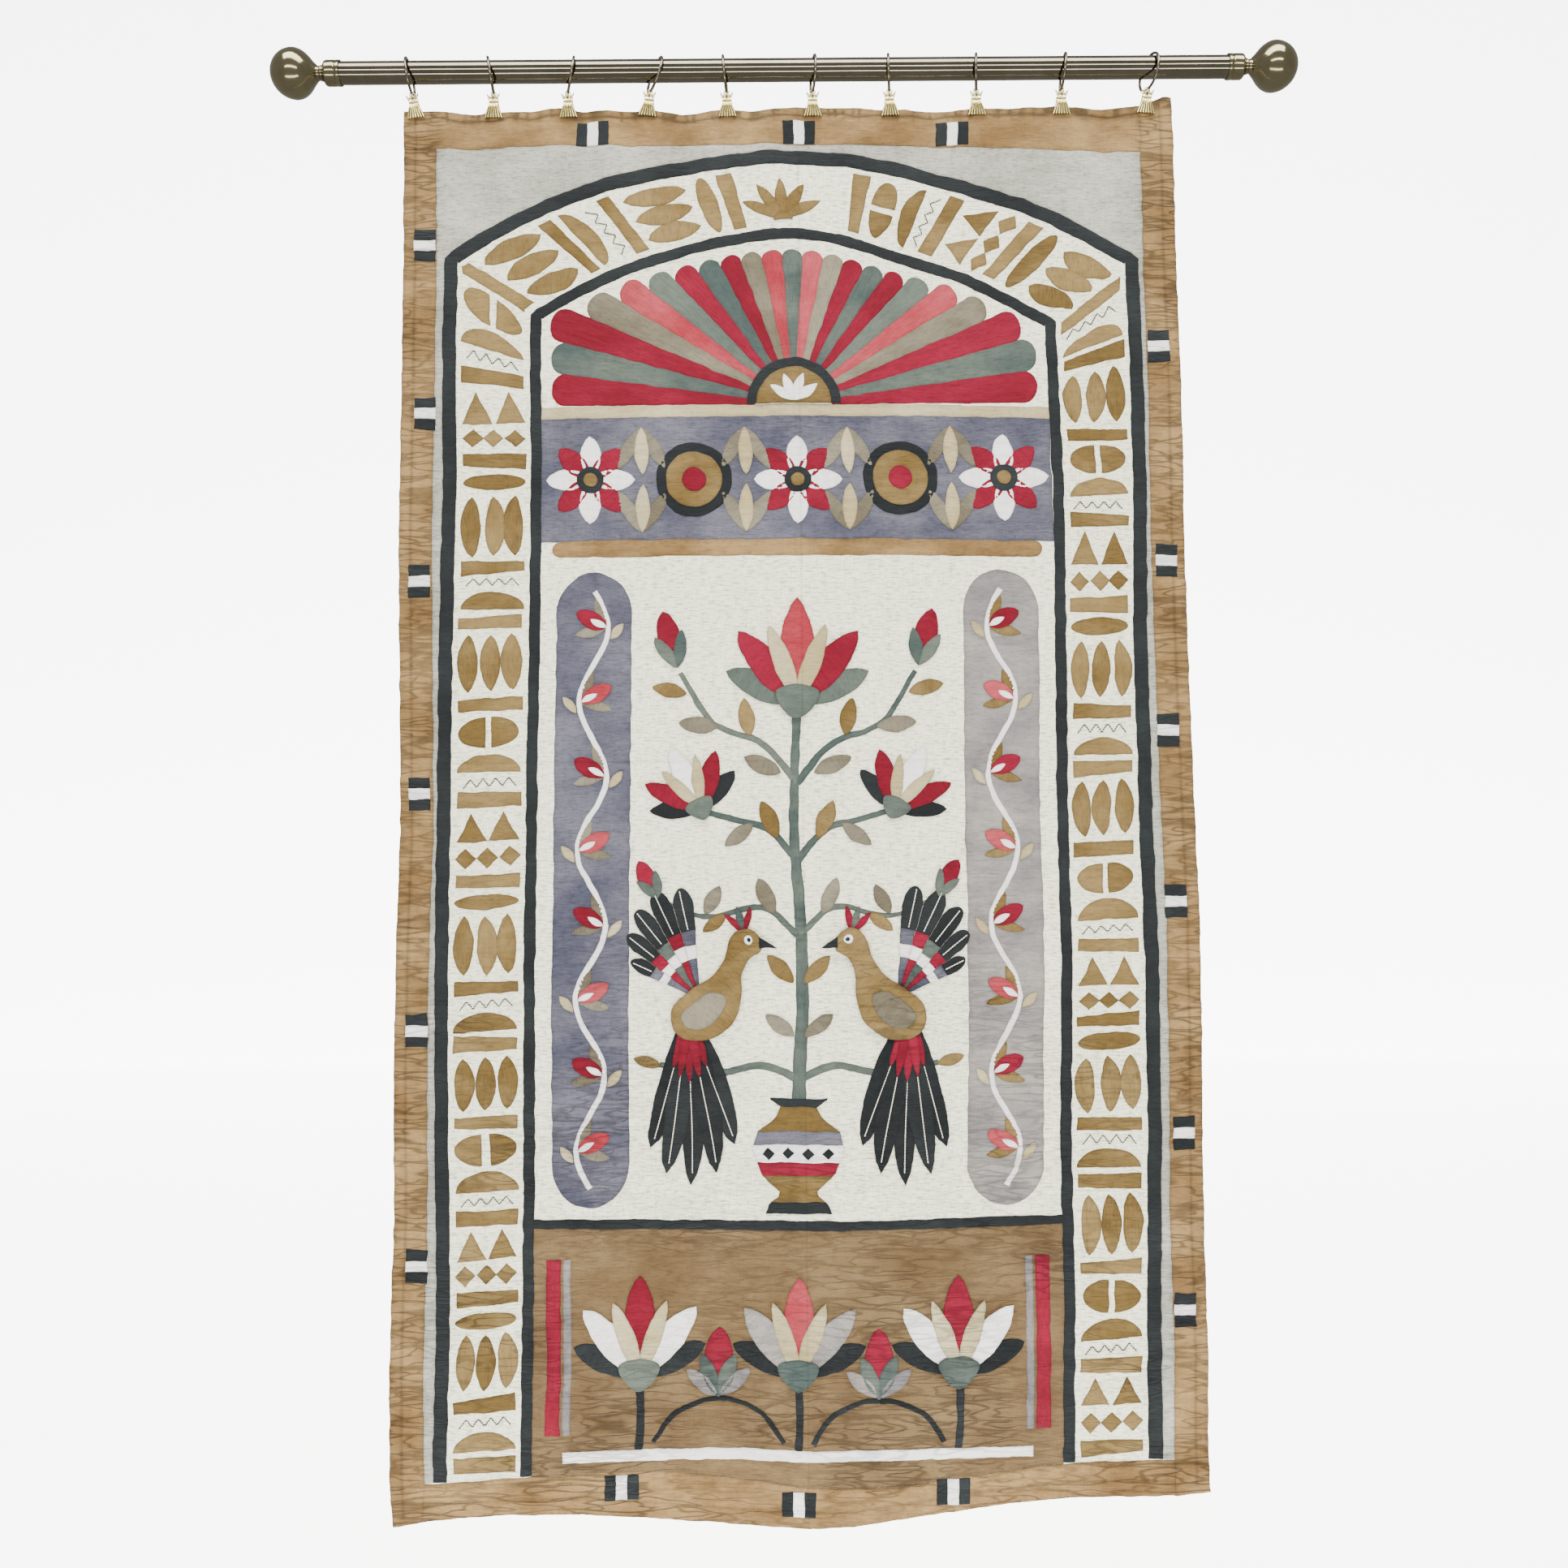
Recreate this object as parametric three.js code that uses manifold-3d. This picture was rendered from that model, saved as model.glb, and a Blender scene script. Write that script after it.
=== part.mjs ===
// An applique wall hanging on a curtain pole, with its rings and clips.
// Millimetres. X runs to the right, Z up, and the front of the cloth faces -Y.
// The origin is on the pole's axis, halfway between the two end knobs.
import * as THREE from "three";
import { mergeVertices } from "three/addons/utils/BufferGeometryUtils.js";
import Module from "manifold-3d";

const wasm = await Module();
wasm.setup();

// Pole and finials
const POLE_RADIUS = 14;
const POLE_SIDES = 32;
const POLE_MOUTH_X = 561; // where the pole goes into each finial's socket
const POLE_INSERTION = 16;
const BRACKET_SEAT_X = 528; // middle of the bare length where a wall bracket's cup would sit
const BRACKET_SEAT_WIDTH = 24;
const FINIAL_SIDES = 20;
const SOCKET_BORE_RADIUS = 14.6;
const SOCKET_RADIUS = 15.7;
const SOCKET_FLOOR_GAP = 0.4;
const BALL_RADIUS = 30.8;
const BALL_MIDDLE = 58.5; // from the socket's mouth to the ball's widest place
const BALL_ARC_STEPS = 4;

// Outer profile of a finial from the socket's mouth to the ball's widest place
const FINIAL_PROFILE = [
  { along: 0, radius: SOCKET_RADIUS },
  { along: 5.4, radius: SOCKET_RADIUS },
  { along: 6.1, radius: 15.1 },
  { along: 6.8, radius: SOCKET_RADIUS },
  { along: 17.5, radius: SOCKET_RADIUS },
  { along: 21, radius: 13.2 },
  { along: 22.6, radius: 8.7 },
  { along: 24.6, radius: 9.7 },
  { along: 28, radius: 8.8 },
  { along: 31.5, radius: 11.4 },
  { along: 35.4, radius: 15.4 },
  { along: 41, radius: 22.2 },
  { along: 49, radius: 28.1 },
];

// Rings: the wire lies on the pole at the top and carries the clip at the bottom
const RING_MEAN_RADIUS = 22.7;
const RING_WIRE_RADIUS = 1.7;
const RING_STEPS = 18;
const RING_GAP = 0.7; // between the pole's top and the wire
const RING_WIRE_SIDES = 5;
const TOUCH_GAP = 0.4;

// Each ring and clip, left to right: the clip's place, how far the ring's top leans to the right,
// how far its front is turned to the right, and how far the clip's skirt swings to the right, in degrees
const HANGERS = [
  { x: -471, lean: -8, turn: 1, swing: 10 },
  { x: -368, lean: -9, turn: 6, swing: 1 },
  { x: -274, lean: 9, turn: 13, swing: 2 },
  { x: -170, lean: 16, turn: 23, swing: -6 },
  { x: -73, lean: -5, turn: -2, swing: 2 },
  { x: 36, lean: 2, turn: 7, swing: 0 },
  { x: 133, lean: -1, turn: -5, swing: 2 },
  { x: 243, lean: 1, turn: -8, swing: 1 },
  { x: 351, lean: 6, turn: -2, swing: -1 },
  { x: 460, lean: 7, turn: 17, swing: -6 },
];

// Clips, measured down from the eye's middle: eye, crown, waist, pleated skirt and back jaw
const EYE_BORE_RADIUS = 2.7;
const EYE_RADIUS = 4;
const EYE_SIDES = 10;
const EYE_THICKNESS = 1.2;
const EYE_DROP = 0.3; // the eye hangs this far below the wire's middle
const CROWN_TOP = 1.2;
const CROWN_NOTCH = 4.2;
const CROWN_HALF_WIDTH = 7.6;
const CROWN_TAPER = 1; // narrower on each side at the notches' depth
const WAIST_DROP = 11.5;
const WAIST_HALF_WIDTH = 5.6;
const SKIRT_DROP = 32;
const SKIRT_HALF_WIDTH = 11.6;
const SKIRT_PLEATS = 4;
const SKIRT_COLUMNS = 8;
const SKIRT_ROWS = 3;
const SKIRT_PLEAT_DEPTH = 1.5;
const SKIRT_WAIST_PLEAT = 0.35; // the pleats' depth at the waist, as a share of that at the hem
const SKIRT_FLARE = 1.4; // over 1, the skirt widens more towards its hem
const SKIRT_SCALLOP = 0.8;
const PLATE_THICKNESS = 1.2;
const JOINT_OVERLAP = 2; // how far each part of the clip runs into the next
const BRIDGE_TOP = 5;
const BRIDGE_FOOT = 11;
const BRIDGE_HALF_WIDTH = 4.6;
const BACK_JAW_TOP = 6;
const BACK_JAW_DROP = 34;
const BACK_JAW_HALF_WIDTH = 10.4;

// Cloth layers
const GROUND_THICKNESS = 1.4;
const SKIN_THICKNESS = 1.1;
const LAYER_GAP = 0.3;
const SEAM_GAP = 0.4;
const FOOT_GAP = 1.2; // between the bottom border and the pieces that end on it
const HEM_WIDTH = 14.5;
const BORDER_WIDTH = 41.5;
const OUTER_BAND_WIDTH = 17.5;
const INNER_BAND_WIDTH = 14;

// The two side edges of the cloth, from the top down
const SIDE_EDGES = [
  { z: -95, left: -481, right: 491 },
  { z: -250, left: -481, right: 492 },
  { z: -410, left: -483, right: 495.5 },
  { z: -590, left: -486, right: 495.5 },
  { z: -775, left: -484.5, right: 498 },
  { z: -960, left: -483, right: 502 },
  { z: -1080, left: -487.5, right: 505.5 },
  { z: -1260, left: -490.5, right: 504.5 },
  { z: -1430, left: -489, right: 502 },
  { z: -1610, left: -494, right: 504.5 },
  { z: -1745, left: -492.5, right: 501 },
];

// The top edge, which sags between the clips, and the seam under the top border strip
const TOP_EDGE = [
  { x: -481, edge: -51, seam: -99 },
  { x: -440, edge: -52, seam: -100 },
  { x: -407, edge: -57.5, seam: -102 },
  { x: -368, edge: -53, seam: -100 },
  { x: -320, edge: -51, seam: -96 },
  { x: -284, edge: -47.5, seam: -95 },
  { x: -253, edge: -53.5, seam: -97 },
  { x: -205, edge: -54.5, seam: -98.5 },
  { x: -170, edge: -51, seam: -98 },
  { x: -130, edge: -56.5, seam: -97 },
  { x: -73, edge: -51, seam: -96.5 },
  { x: -37, edge: -55, seam: -97 },
  { x: 24, edge: -49, seam: -98 },
  { x: 86, edge: -52, seam: -99 },
  { x: 148, edge: -53.5, seam: -100 },
  { x: 209, edge: -55, seam: -101.5 },
  { x: 243, edge: -51.5, seam: -103 },
  { x: 290, edge: -54.5, seam: -105 },
  { x: 345, edge: -49.5, seam: -107 },
  { x: 394, edge: -53, seam: -108 },
  { x: 445, edge: -51, seam: -109 },
  { x: 466, edge: -45, seam: -109 },
  { x: 480, edge: -38, seam: -109 },
  { x: 489, edge: -40, seam: -109 },
];

// The bottom edge and the seam above the bottom border strip
const BOTTOM_EDGE = [
  { x: -487, edge: -1804, seam: -1757 },
  { x: -433, edge: -1796.5, seam: -1754 },
  { x: -344, edge: -1788.5, seam: -1745 },
  { x: -256, edge: -1791, seam: -1741 },
  { x: -167, edge: -1798, seam: -1742 },
  { x: -79, edge: -1805, seam: -1750 },
  { x: 10, edge: -1809.5, seam: -1760 },
  { x: 70, edge: -1807, seam: -1762 },
  { x: 129, edge: -1798.5, seam: -1758 },
  { x: 217, edge: -1788, seam: -1750 },
  { x: 306, edge: -1779.5, seam: -1739 },
  { x: 395, edge: -1773.5, seam: -1731 },
  { x: 455, edge: -1770, seam: -1728 },
  { x: 503, edge: -1765, seam: -1727 },
];

// Middles of the black bands' straight legs, from the shoulders down
const BAND_LEGS = [
  { z: -360, outerLeft: -423, innerLeft: -315, innerRight: 333, outerRight: 439 },
  { z: -530, outerLeft: -422.5, innerLeft: -313.5, innerRight: 339, outerRight: 441.5 },
  { z: -740, outerLeft: -427, innerLeft: -316, innerRight: 339.5, outerRight: 438.5 },
  { z: -940, outerLeft: -429, innerLeft: -319, innerRight: 338.5, outerRight: 441 },
  { z: -1140, outerLeft: -431.5, innerLeft: -321.5, innerRight: 341.5, outerRight: 445 },
  { z: -1340, outerLeft: -430.5, innerLeft: -321.5, innerRight: 336.5, outerRight: 444 },
  { z: -1540, outerLeft: -427.5, innerLeft: -323, innerRight: 338, outerRight: 439.5 },
  { z: -1720, outerLeft: -431.5, innerLeft: -325.5, innerRight: 335, outerRight: 438 },
];

// Middles of the black bands' arched tops, from the left shoulder to the right one
const OUTER_ARCH = [
  { x: -421, z: -242 },
  { x: -350, z: -198 },
  { x: -260, z: -159 },
  { x: -171, z: -135 },
  { x: -69, z: -118 },
  { x: 8, z: -114.5 },
  { x: 85, z: -120 },
  { x: 162, z: -136 },
  { x: 264, z: -167 },
  { x: 341, z: -196.5 },
  { x: 436, z: -249 },
];
const INNER_ARCH = [
  { x: -314.5, z: -314 },
  { x: -248, z: -277 },
  { x: -171.5, z: -246 },
  { x: -95, z: -224.5 },
  { x: -30, z: -214 },
  { x: 33, z: -213.5 },
  { x: 85, z: -225 },
  { x: 161, z: -250 },
  { x: 237, z: -277 },
  { x: 332, z: -329 },
];
const ARCH_STEPS = 20;

// Heights of the cross seams at the left end, the middle and the right end of the inner field
const FIELD_LEFT = -315;
const FIELD_RIGHT = 337;
const SEAMS = {
  lunetteRailTop: { left: -432, middle: -429, right: -436 },
  friezeTop: { left: -447, middle: -444, right: -450 },
  friezeFoot: { left: -602, middle: -599, right: -605 },
  friezeRailFoot: { left: -622, middle: -620, right: -625 },
  baseLineTop: { left: -1436, middle: -1441, right: -1437 },
  baseTop: { left: -1447, middle: -1453, right: -1448 },
};
const FIELD_STEPS = 8; // straight runs along each seam's bow
const FRIEZE_RAIL_INSET = 24; // from the inner band to the middle of each rounded end
const SIDE_PANEL_INSET = 20;
const SIDE_PANEL_WIDTH = 92;
const SIDE_PANEL_TOP = -640;
const SIDE_PANEL_FOOT = -1424;
const SIDE_PANEL_END = 52; // height of the curved ends
const SIDE_PANEL_END_STEPS = 4;
const SIDE_PANEL_STEPS = 4;

// How the cloth stands off its flat plane, forward being towards -Y.
// One row for each gap between two clips: how far the cloth bellies out there
const BELLIES = [
  { forward: 4 },
  { forward: -3 },
  { forward: 5 },
  { forward: -3.5 },
  { forward: 4.5 },
  { forward: 3 },
  { forward: -4 },
  { forward: 4 },
  { forward: -4.5 },
];
const BELLY_FADE = 150;
const FOLDS_BEGIN = -50; // height under which the cloth is free of the clips
const CLIP_FLAT_HALF_WIDTH = 17;

// Soft upright ridges and troughs of the hung cloth: middle, reach to each side, and how they grow
const RIDGES = [
  { x: -470, reach: 60, forward: -5, from: -300, to: -1100 },
  { x: -330, reach: 95, forward: 6, from: -350, to: -1250 },
  { x: -120, reach: 110, forward: -5, from: -600, to: -1500 },
  { x: 90, reach: 100, forward: 5, from: -500, to: -1700 },
  { x: 290, reach: 90, forward: -5, from: -450, to: -1300 },
  { x: 450, reach: 70, forward: 7, from: -700, to: -1600 },
];

// Sharp creases where the cloth was folded in store
const CREASES = [
  { along: "z", at: 17, reach: 16, forward: 2.2 },
  { along: "x", at: -877, reach: 14, forward: 1.6 },
];
const CREASES_BEGIN = 30; // below the free edge
const CREASES_GROW = 120;

// Corners that curl forward
const CURLS = [
  { x: -487, z: -1804, reach: 55, forward: 9 },
  { x: 503, z: -1765, reach: 60, forward: 6 },
];

// Rows of the cloth lattice, closer together where the cloth bends more. The upper rows follow the
// clips, and the lower ones have their own wider columns.
const UPPER_ROWS = [-20, -47, -72, -105, -150, -215];
const LOWER_ROWS = [
  -320, -460, -640, -850, -877, -904, -1080, -1260, -1430, -1590, -1700, -1785, -1835,
];
const LATTICE_LEFT = -515;
const LATTICE_RIGHT = 525;
const LOWER_COLUMNS = [
  LATTICE_LEFT, -450, -370, -290, -200, -110, -40, 17, 80, 160, 240, 320, 400, 460, LATTICE_RIGHT,
];
const PRISM_DEPTH = 200;
const WELD = 1e-3;

// Finishes: the colours of the cloths and metals, and how rough and metallic they are
const CREAM = { color: 0xedebe0, roughness: 0.95, metalness: 0 };
const TAN = { color: 0xc09a6b, roughness: 0.93, metalness: 0 };
const GREY = { color: 0xb9bab5, roughness: 0.94, metalness: 0 };
const BLACK = { color: 0x2f3233, roughness: 0.95, metalness: 0 };
const VIOLET = { color: 0x8c8896, roughness: 0.94, metalness: 0 };
const BROWN = { color: 0xa3824f, roughness: 0.93, metalness: 0 };
const POLE_METAL = { color: 0x8a8270, roughness: 0.22, metalness: 1 };
const RING_METAL = { color: 0x7a705c, roughness: 0.35, metalness: 1 };
const CLIP_BRASS = { color: 0xe8d98c, roughness: 0.3, metalness: 1 };

const DEGREE = Math.PI / 180;

// Value of a table's column at a place, by straight lines between its rows
function between(rows, placeKey, valueKey, place) {
  const rising = rows[0][placeKey] < rows[rows.length - 1][placeKey];
  const ordered = rising ? rows : [...rows].reverse();
  if (place <= ordered[0][placeKey]) return ordered[0][valueKey];
  for (let i = 1; i < ordered.length; i++) {
    const low = ordered[i - 1];
    const high = ordered[i];
    if (place <= high[placeKey]) {
      const share = (place - low[placeKey]) / (high[placeKey] - low[placeKey]);
      return low[valueKey] + share * (high[valueKey] - low[valueKey]);
    }
  }
  return ordered[ordered.length - 1][valueKey];
}

const leftEdge = (z) => between(SIDE_EDGES, "z", "left", z);
const rightEdge = (z) => between(SIDE_EDGES, "z", "right", z);
const topSeam = (x) => between(TOP_EDGE, "x", "seam", x);
const bottomSeam = (x) => between(BOTTOM_EDGE, "x", "seam", x);
const innerLeft = (z) => between(BAND_LEGS, "z", "innerLeft", z) + INNER_BAND_WIDTH / 2 + SEAM_GAP;
const innerRight = (z) => between(BAND_LEGS, "z", "innerRight", z) - INNER_BAND_WIDTH / 2 - SEAM_GAP;

// Height of a cross seam at a place across the field, on a parabola through its three heights
function seamHeight(seam, x) {
  const share = (x - FIELD_LEFT) / (FIELD_RIGHT - FIELD_LEFT);
  const bow = seam.middle - (seam.left + seam.right) / 2;
  return seam.left + share * (seam.right - seam.left) + 4 * bow * share * (1 - share);
}

const smoothStep = (share) => share * share * (3 - 2 * share);
const clampShare = (share) => Math.min(1, Math.max(0, share));

// How far the cloth's middle plane stands from the flat plane at a place: Y, so forward is negative
function foldDepth(x, z) {
  let forward = 0;
  const drop = Math.max(0, FOLDS_BEGIN - z);
  BELLIES.forEach((belly, i) => {
    const start = HANGERS[i].x + CLIP_FLAT_HALF_WIDTH;
    const end = HANGERS[i + 1].x - CLIP_FLAT_HALF_WIDTH;
    const share = clampShare((x - start) / (end - start));
    forward += belly.forward * Math.sin(Math.PI * share) ** 2 * Math.exp(-((drop / BELLY_FADE) ** 2));
  });
  for (const ridge of RIDGES) {
    const growth = smoothStep(clampShare((ridge.from - z) / (ridge.from - ridge.to)));
    forward += ridge.forward * growth * Math.exp(-(((x - ridge.x) / ridge.reach) ** 2));
  }
  const belowClips = smoothStep(clampShare((drop - CREASES_BEGIN) / CREASES_GROW));
  for (const crease of CREASES) {
    const away = Math.abs((crease.along === "z" ? x : z) - crease.at);
    forward += crease.forward * belowClips * Math.exp(-away / crease.reach);
  }
  for (const curl of CURLS) {
    const away = Math.hypot(x - curl.x, z - curl.z);
    forward += curl.forward * Math.exp(-((away / curl.reach) ** 2));
  }
  return -forward;
}

// Upper columns of the cloth lattice: each clip keeps a flat strip, with one column between clips
function upperColumns() {
  const columns = [LATTICE_LEFT];
  HANGERS.forEach((hanger, i) => {
    columns.push(hanger.x - CLIP_FLAT_HALF_WIDTH, hanger.x + CLIP_FLAT_HALF_WIDTH);
    if (i + 1 < HANGERS.length) columns.push((hanger.x + HANGERS[i + 1].x) / 2);
  });
  columns.push(LATTICE_RIGHT);
  return columns;
}

// Triangles between two rows of points, which may have different numbers of points.
// Each row is {start, points}: the index of its first point, and its points from left to right.
function stripTriangles(upper, lower) {
  const shareAt = (row, i) => {
    const first = row.points[0].x;
    return (row.points[i].x - first) / (row.points.at(-1).x - first);
  };
  const triangles = [];
  let i = 0;
  let j = 0;
  while (i + 1 < upper.points.length || j + 1 < lower.points.length) {
    const lowerDone = j + 1 === lower.points.length;
    const upperDone = i + 1 === upper.points.length;
    const nextUpper = lowerDone || (!upperDone && shareAt(upper, i + 1) <= shareAt(lower, j + 1));
    const third = nextUpper ? upper.start + i + 1 : lower.start + j + 1;
    triangles.push([upper.start + i, lower.start + j, third]);
    if (nextUpper) i += 1;
    else j += 1;
  }
  return triangles;
}

// A closed mesh between two sheets of points, both laid out in the same rows.
// The front sheet faces -Y when its rows run along +X and follow each other down.
function slabGeometry(front, back) {
  const rows = [];
  let count = 0;
  for (const points of front) {
    rows.push({ start: count, points });
    count += points.length;
  }
  const index = [];
  for (let r = 0; r + 1 < rows.length; r++) {
    for (const [a, b, c] of stripTriangles(rows[r], rows[r + 1])) {
      index.push(a, b, c, count + a, count + c, count + b);
    }
  }
  const ends = rows.map((row) => row.start + row.points.length - 1);
  const starts = rows.map((row) => row.start);
  const top = rows[0].points.map((_, i) => i);
  const foot = rows.at(-1).points.map((_, i) => starts.at(-1) + i);
  const rim = [...top, ...ends.slice(1), ...foot.reverse().slice(1), ...starts.slice(1, -1).reverse()];
  rim.forEach((a, i) => {
    const b = rim[(i + 1) % rim.length];
    index.push(a, b, count + b, a, count + b, count + a);
  });
  const geometry = new THREE.BufferGeometry().setFromPoints([...front.flat(), ...back.flat()]);
  geometry.setIndex(index);
  return geometry;
}

// A mesh as a solid that can be joined and cut
function solidOf(geometry) {
  const bare = geometry.clone();
  bare.deleteAttribute("normal");
  bare.deleteAttribute("uv");
  const merged = mergeVertices(bare, WELD);
  return new wasm.Manifold(
    new wasm.Mesh({
      numProp: 3,
      vertProperties: merged.attributes.position.array,
      triVerts: new Uint32Array(merged.index.array),
    }),
  );
}

// A solid back as a mesh, without the triangles that welding its vertices closes up
function geometryOf(solid) {
  const mesh = solid.getMesh();
  const loose = new THREE.BufferGeometry();
  loose.setAttribute("position", new THREE.BufferAttribute(Float32Array.from(mesh.vertProperties), 3));
  loose.setIndex(new THREE.BufferAttribute(Uint32Array.from(mesh.triVerts), 1));
  const welded = mergeVertices(loose, WELD);
  const kept = [];
  const corners = welded.index.array;
  for (let i = 0; i < corners.length; i += 3) {
    const [a, b, c] = [corners[i], corners[i + 1], corners[i + 2]];
    if (a !== b && b !== c && c !== a) kept.push(a, b, c);
  }
  welded.setIndex(kept);
  const flat = welded.toNonIndexed();
  flat.computeVertexNormals();
  return flat;
}

// The whole lattice as one layer of cloth between two offsets from its middle plane
function clothLayer(frontOffset, backOffset) {
  const row = (z, columns, offset) =>
    columns.map((x) => new THREE.Vector3(x, foldDepth(x, z) + offset, z));
  const upper = upperColumns();
  const sheet = (offset) => [
    ...UPPER_ROWS.map((z) => row(z, upper, offset)),
    ...LOWER_ROWS.map((z) => row(z, LOWER_COLUMNS, offset)),
  ];
  return solidOf(slabGeometry(sheet(frontOffset), sheet(backOffset)));
}

const groundFront = -GROUND_THICKNESS / 2;
const skinBack = groundFront - LAYER_GAP;
const skinFront = skinBack - SKIN_THICKNESS;
const groundLayer = clothLayer(groundFront, GROUND_THICKNESS / 2);
const skinLayer = clothLayer(skinFront, skinBack);

// The piece of a cloth layer inside an outline, given as points across (x) and up (y)
function cutPiece(layer, outline) {
  const prism = new THREE.ExtrudeGeometry(new THREE.Shape(outline), {
    depth: 2 * PRISM_DEPTH,
    bevelEnabled: false,
  });
  prism.rotateX(Math.PI / 2);
  prism.translate(0, PRISM_DEPTH, 0);
  return geometryOf(layer.intersect(solidOf(prism)));
}

const spot = (x, z) => new THREE.Vector2(x, z);

// Evenly spaced values from one to another, both ends included
function steps(from, to, count) {
  return Array.from({ length: count + 1 }, (_, i) => from + ((to - from) * i) / count);
}

// A four-sided panel whose sides are functions of height and whose ends are functions of width
function panelOutline(left, right, top, foot, down) {
  const topLeft = top(left(top(0)));
  const footLeft = foot(left(foot(0)));
  const topRight = top(right(top(0)));
  const footRight = foot(right(foot(0)));
  return [
    ...steps(topLeft, footLeft, down).map((z) => spot(left(z), z)),
    ...steps(left(footLeft), right(footRight), FIELD_STEPS).slice(1, -1).map((x) => spot(x, foot(x))),
    ...steps(footRight, topRight, down).map((z) => spot(right(z), z)),
    ...steps(right(topRight), left(topLeft), FIELD_STEPS).slice(1, -1).map((x) => spot(x, top(x))),
  ];
}

// The middle line of an arched band: up the left leg, over the arch, and down the right leg
function bandLine(arch, leftKey, rightKey) {
  const over = new THREE.SplineCurve(arch.map((row) => spot(row.x, row.z))).getPoints(ARCH_STEPS);
  const leg = (key) => {
    const last = BAND_LEGS[BAND_LEGS.length - 1];
    const foot = spot(last[key], bottomSeam(last[key]) + FOOT_GAP);
    return [...BAND_LEGS.map((row) => spot(row[key], row.z)), foot];
  };
  return [...leg(leftKey).reverse(), ...over, ...leg(rightKey)];
}

// A line of points moved to its left by a distance, with mitred corners
function offsetLine(line, distance) {
  return line.map((point, i) => {
    const before = line[Math.max(0, i - 1)];
    const after = line[Math.min(line.length - 1, i + 1)];
    const into = (i > 0 ? point.clone().sub(before) : after.clone().sub(point)).normalize();
    const out = (i < line.length - 1 ? after.clone().sub(point) : into.clone()).normalize();
    const normal = spot(-into.y - out.y, into.x + out.x).normalize();
    const mitre = distance / normal.dot(spot(-into.y, into.x));
    return point.clone().addScaledVector(normal, mitre);
  });
}

function bandOutline(line, width) {
  return [...offsetLine(line, width / 2), ...offsetLine(line, -width / 2).reverse()];
}

function groundOutline() {
  return [
    ...TOP_EDGE.map((row) => spot(row.x, row.edge)),
    ...SIDE_EDGES.map((row) => spot(row.right, row.z)),
    ...[...BOTTOM_EDGE].reverse().map((row) => spot(row.x, row.edge)),
    ...[...SIDE_EDGES].reverse().map((row) => spot(row.left, row.z)),
  ];
}

// Where the border's inner edges run
const borderLeft = (z) => leftEdge(z) + BORDER_WIDTH;
const borderRight = (z) => rightEdge(z) - BORDER_WIDTH;
const hemSeamX = TOP_EDGE[0].x + HEM_WIDTH;

// Rows of an edge table that lie strictly between two places across the cloth
const rowsWithin = (rows, from, to) => rows.filter((row) => row.x > from && row.x < to);

function borderTopOutline() {
  const right = borderRight(topSeam(BORDER_WIDTH)) - SEAM_GAP;
  const inside = rowsWithin(TOP_EDGE, hemSeamX, right);
  const edgeAt = (x) => between(TOP_EDGE, "x", "edge", x);
  return [
    spot(hemSeamX, edgeAt(hemSeamX)),
    ...inside.map((row) => spot(row.x, row.edge)),
    spot(right, edgeAt(right)),
    spot(right, topSeam(right)),
    ...inside.reverse().map((row) => spot(row.x, row.seam)),
    spot(hemSeamX, topSeam(hemSeamX)),
  ];
}

function borderBottomOutline() {
  const left = borderLeft(BOTTOM_EDGE[0].seam) + SEAM_GAP;
  const right = borderRight(SIDE_EDGES.at(-1).z) - SEAM_GAP;
  const inside = rowsWithin(BOTTOM_EDGE, left, right);
  const edgeAt = (x) => between(BOTTOM_EDGE, "x", "edge", x);
  return [
    spot(left, bottomSeam(left)),
    ...inside.map((row) => spot(row.x, row.seam)),
    spot(right, bottomSeam(right)),
    spot(right, edgeAt(right)),
    ...inside.reverse().map((row) => spot(row.x, row.edge)),
    spot(left, edgeAt(left)),
  ];
}

function borderLeftOutline() {
  const start = hemSeamX - SEAM_GAP;
  const foot = BOTTOM_EDGE[0];
  const end = borderLeft(foot.seam);
  const corner = borderLeft(SIDE_EDGES[0].z);
  return [
    spot(TOP_EDGE[0].x, TOP_EDGE[0].edge),
    spot(start, between(TOP_EDGE, "x", "edge", start)),
    spot(start, topSeam(start) - SEAM_GAP),
    spot(corner, topSeam(corner) - SEAM_GAP),
    ...SIDE_EDGES.slice(1).map((row) => spot(row.left + BORDER_WIDTH, row.z)),
    spot(end, between(BOTTOM_EDGE, "x", "edge", end)),
    spot(foot.x, foot.edge),
    ...[...SIDE_EDGES].reverse().map((row) => spot(row.left, row.z)),
  ];
}

function borderRightOutline() {
  const top = borderRight(SIDE_EDGES[0].z);
  const foot = BOTTOM_EDGE.at(-1);
  const end = borderRight(SIDE_EDGES.at(-1).z);
  return [
    spot(top, between(TOP_EDGE, "x", "edge", top)),
    ...TOP_EDGE.filter((row) => row.x > top).map((row) => spot(row.x, row.edge)),
    ...SIDE_EDGES.map((row) => spot(row.right, row.z)),
    spot(foot.x, foot.edge),
    spot(end, between(BOTTOM_EDGE, "x", "edge", end)),
    ...[...SIDE_EDGES].reverse().map((row) => spot(row.right - BORDER_WIDTH, row.z)),
  ];
}

const outerLine = bandLine(OUTER_ARCH, "outerLeft", "outerRight");
const innerLine = bandLine(INNER_ARCH, "innerLeft", "innerRight");

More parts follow.
